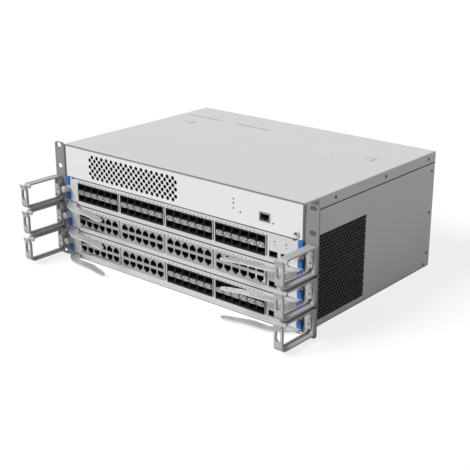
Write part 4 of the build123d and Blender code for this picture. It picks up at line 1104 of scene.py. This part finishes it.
def rotor_blade():
    """One swept blade about Z, cambered and twisted from its root to its tip."""
    bm = bmesh.new()
    bmesh.ops.create_grid(bm, x_segments=6, y_segments=8, size=0.5)
    for vert in bm.verts:
        along = vert.co.x
        out = vert.co.y + 0.5
        radius = 19 + 31 * out
        lean = math.radians(48 - 16 * out)
        chord = 22 + 5 * out
        turn = along * chord * math.cos(lean) / radius + 0.25 * out
        rise = along * chord * math.sin(lean) + 3.5 * (0.25 - along * along)
        vert.co = (radius * math.cos(turn), radius * math.sin(turn), rise)
    bmesh.ops.solidify(bm, geom=bm.faces[:], thickness=1.4)
    bmesh.ops.recalc_face_normals(bm, faces=bm.faces)
    return bm


def rotor(x):
    """Hub with a stepped cap and swept blades."""
    profile = [(0, 12), (15, 12), (18.5, 11), (19.6, 9), (19.6, -12), (17.6, -12), (17.6, -4), (0, -4)]
    hub = turned(profile, 48)
    turns = [Matrix.Rotation(math.tau * k / FAN_BLADES, 4, "Z") for k in range(FAN_BLADES)]
    return placed(joined(hub, repeated(rotor_blade(), turns)), at(x, BACK - 14.4, TRAY_MIDDLE) @ BACKWARD)


def tray_screws():
    """Screws at the tray plate's four corners, and the fans' screws."""
    knob = turned([(0, 7), (3.4, 7), (4, 6.4), (4, 1.4), (3.2, 1.2), (3.2, 0.2), (0, 0.2)], 24)
    corners = [(side * 199.5, z) for side in SIDES.values() for z in (10, TRAY_HIGH - 8.5)]
    knobs = repeated(knob, [at(x, REAR, z) @ BACKWARD for x, z in corners])
    heads = repeated(screw_head(3.4, 0.8), [at(x, REAR, z) @ BACKWARD for x, z in FAN_SCREWS])
    return joined(knobs, heads)


piece("fan_tray_case", fan_tray_case(), "fan_tray", "zinc_sheet", ["fan_tray"])
piece("fan_tray_frames", fan_frames(), "fan_tray", "moulded_black")
piece("fan_tray_screws", tray_screws(), "fan_tray", "screw_steel")
piece("fan_tray_pull", pull(0, TRAY_MIDDLE, 60, 12), "fan_tray", "ring_grey", (), 0.8)
for number, x in enumerate(FANS, start=1):
    body = f"fan_rotor_{number}"
    piece(f"{body}_blades", rotor(x), body, "moulded_black", [body])

POWER_LOW = 126.6
POWER_HIGH = 166.6
POWER_MIDDLE = (POWER_LOW + POWER_HIGH) / 2
POWER_TALL = POWER_HIGH - POWER_LOW
POWER_HALF = 43
POWER_LENGTH = 200
# Places on a module's back, as seen from behind it
INLET_X = 21.5
LIGHT_SPOT = (38, -14)
PIN_SPOTS = ((0, 3.2), (-7, -1.6), (7, -1.6))


def inlet_line(width, height, cut):
    """Outline of the inlet, its two upper corners cut."""
    left = INLET_X - width / 2
    right = INLET_X + width / 2
    z = height / 2
    points = [(left, -z), (right, -z), (right, z - cut), (right - cut, z), (left + cut, z), (left, z - cut)]
    return outline(points, (1, 1, 0, 0, 0, 0))


def power_case():
    """Sheet metal case of a power module, seen from the back, with its vents and its inlet's opening."""
    rim = rectangle(0, 0, 2 * POWER_HALF, POWER_TALL, corner=0.6)
    vents = [
        circle(-16 + 3.9 * (column + 0.5 * (row % 2)), 3.4 * (row - 4), 1.6, 6)
        for row in range(9) for column in range(7 - row % 2)
    ]
    back = sheet(1.5, rim, inlet_line(28, 20, 5), *vents, circle(*LIGHT_SPOT, 1.5, 12))
    walls = sheet(POWER_LENGTH - 3, rim, rectangle(0, 0, 2 * POWER_HALF - 2, POWER_TALL - 2))
    end = block((-POWER_HALF, -20, -POWER_LENGTH), (POWER_HALF, 20, -POWER_LENGTH + 2), 0.3)
    return joined(back, placed(walls, at(0, 0, -1.4)), end)


def power_inlet():
    """Black inlet socket, a dark plate behind the vents that paints the shade inside the module, and the
    module's light, seen from the back.
    """
    socket = placed(sheet(16, inlet_line(27.8, 19.8, 5), inlet_line(24.4, 16.4, 4.2)), at(0, 0, 0.3))
    bottom = block((INLET_X - 13, -9.5, -17), (INLET_X + 13, 9.5, -15.6))
    # painted shade: a dark plate behind the vents, standing for the dark inside of the module
    vent_shade = block((-18, -18, -6), (7, 18, -5), 0.2)
    light = turned([(0, 0.3), (1, 0.2), (1.4, -0.3), (1.4, -4), (0, -4)], 14)
    return joined(socket, bottom, vent_shade, placed(light, at(*LIGHT_SPOT, 0)))


def inlet_pins():
    """Three flat pins in the inlet."""
    pin = block((-1, -2, -15.6), (1, 2, -3), 0.3)
    return repeated(pin, [at(INLET_X + x, z, 0) for x, z in PIN_SPOTS])


for number, x in ((1, -124.5), (2, -36.5)):
    body = f"power_module_{number}"
    place = at(x, REAR, POWER_MIDDLE) @ BACKWARD
    piece(f"{body}_case", placed(power_case(), place), body, "zinc_sheet", [body])
    piece(f"{body}_inlet", placed(power_inlet(), place), body, "moulded_black")
    piece(f"{body}_pins", placed(inlet_pins(), place), body, "screw_steel")
    piece(f"{body}_bail", pull(x + 31, POWER_MIDDLE, 35, 12), body, "ring_grey", (), 0.8)

# Carried-over sheets and boards keep their shapes and get their finishes

CARRIED = {
    "control_board": "board_green",
    "reset_button": "moulded_black",
    "shelf": "dark_zinc",
    # the card guides are black plastic, and their black also paints the shade seen through the air holes
    "card_guides": "moulded_black",
    "backplane": "board_green",
    "backplane_sockets": "connector_cream",
    "rear_panel": "shell_paint",
}
for number in CARD_LOW:
    CARRIED[f"card_{number}_pan"] = "zinc_sheet"
    CARRIED[f"card_{number}_board"] = "board_green"
    CARRIED[f"card_{number}_plugs"] = "connector_cream"
for node, look in CARRIED.items():
    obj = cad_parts[node]
    obj.data.materials.clear()
    obj.data.materials.append(looks[look])

# Stage, light and camera

WHITE = (1, 1, 1, 1)
FLOOR_LIT = (0.95, 0.95, 0.95, 1)
FLOOR_PLAIN = (0.5, 0.5, 0.5, 1)
LIGHT_FROM = (-0.38, -0.66, 0.65)
CAMERA_PLACE = (0.893506, -1.06175, 0.549613)
CAMERA_AZIMUTH = 40.115
CAMERA_ELEVATION = 19.924


def looked_at(tree):
    """One for rays from the camera and from glossy surfaces, nought for the rest."""
    rays = tree.nodes.new("ShaderNodeLightPath").outputs
    return wired(tree, "Math", {0: rays["Is Camera Ray"], 1: rays["Is Glossy Ray"]}, "MAXIMUM")


def stage_material():
    """White floor that keeps a soft shadow where it is seen, and lights the object as a grey one."""
    material = bpy.data.materials.new("stage_paint")
    material.use_nodes = True
    tree = material.node_tree
    tree.nodes.remove(tree.nodes["Principled BSDF"])
    lit = wired(tree, "BsdfDiffuse", {"Color": FLOOR_LIT})
    glow = wired(tree, "Emission", {"Strength": 1.05})
    pale = wired(tree, "MixShader", {0: 0.75, 1: lit, 2: glow})
    plain = wired(tree, "BsdfDiffuse", {"Color": FLOOR_PLAIN})
    picked = wired(tree, "MixShader", {0: looked_at(tree), 1: plain, 2: pale})
    feed(tree.nodes["Material Output"], {"Surface": picked})
    return material


floor_mesh = bmesh.new()
bmesh.ops.create_grid(floor_mesh, x_segments=1, y_segments=1, size=30, matrix=at(0, 0, -0.0005))
floor = in_scene("floor", mesh_of("floor", floor_mesh))
floor.data.materials.append(stage_material())

world = bpy.data.worlds.new("studio")
bpy.context.scene.world = world
world.use_nodes = True
sky = world.node_tree
seen = feed(sky.nodes["Background"], {"Color": WHITE, "Strength": 1}).outputs[0]
dim = wired(sky, "Background", {"Color": WHITE, "Strength": 0.3})
blend = wired(sky, "MixShader", {0: looked_at(sky), 1: dim, 2: seen})
feed(sky.nodes["World Output"], {"Surface": blend})

key = in_scene("key", bpy.data.lights.new("key", "SUN"))
key.data.energy = 3.3
key.data.angle = math.radians(25)
key.rotation_euler = Vector(LIGHT_FROM).to_track_quat("Z", "Y").to_euler()

camera = in_scene("camera", bpy.data.cameras.new("camera"))
camera.data.sensor_fit = "HORIZONTAL"
camera.data.sensor_width = 36
camera.data.lens = 76.49
camera.data.clip_start = 0.01
camera.data.clip_end = 100
camera.location = CAMERA_PLACE
camera.rotation_euler = (math.radians(90 - CAMERA_ELEVATION), 0, math.radians(CAMERA_AZIMUTH))
bpy.context.scene.camera = camera
bpy.context.scene.view_settings.view_transform = "Standard"
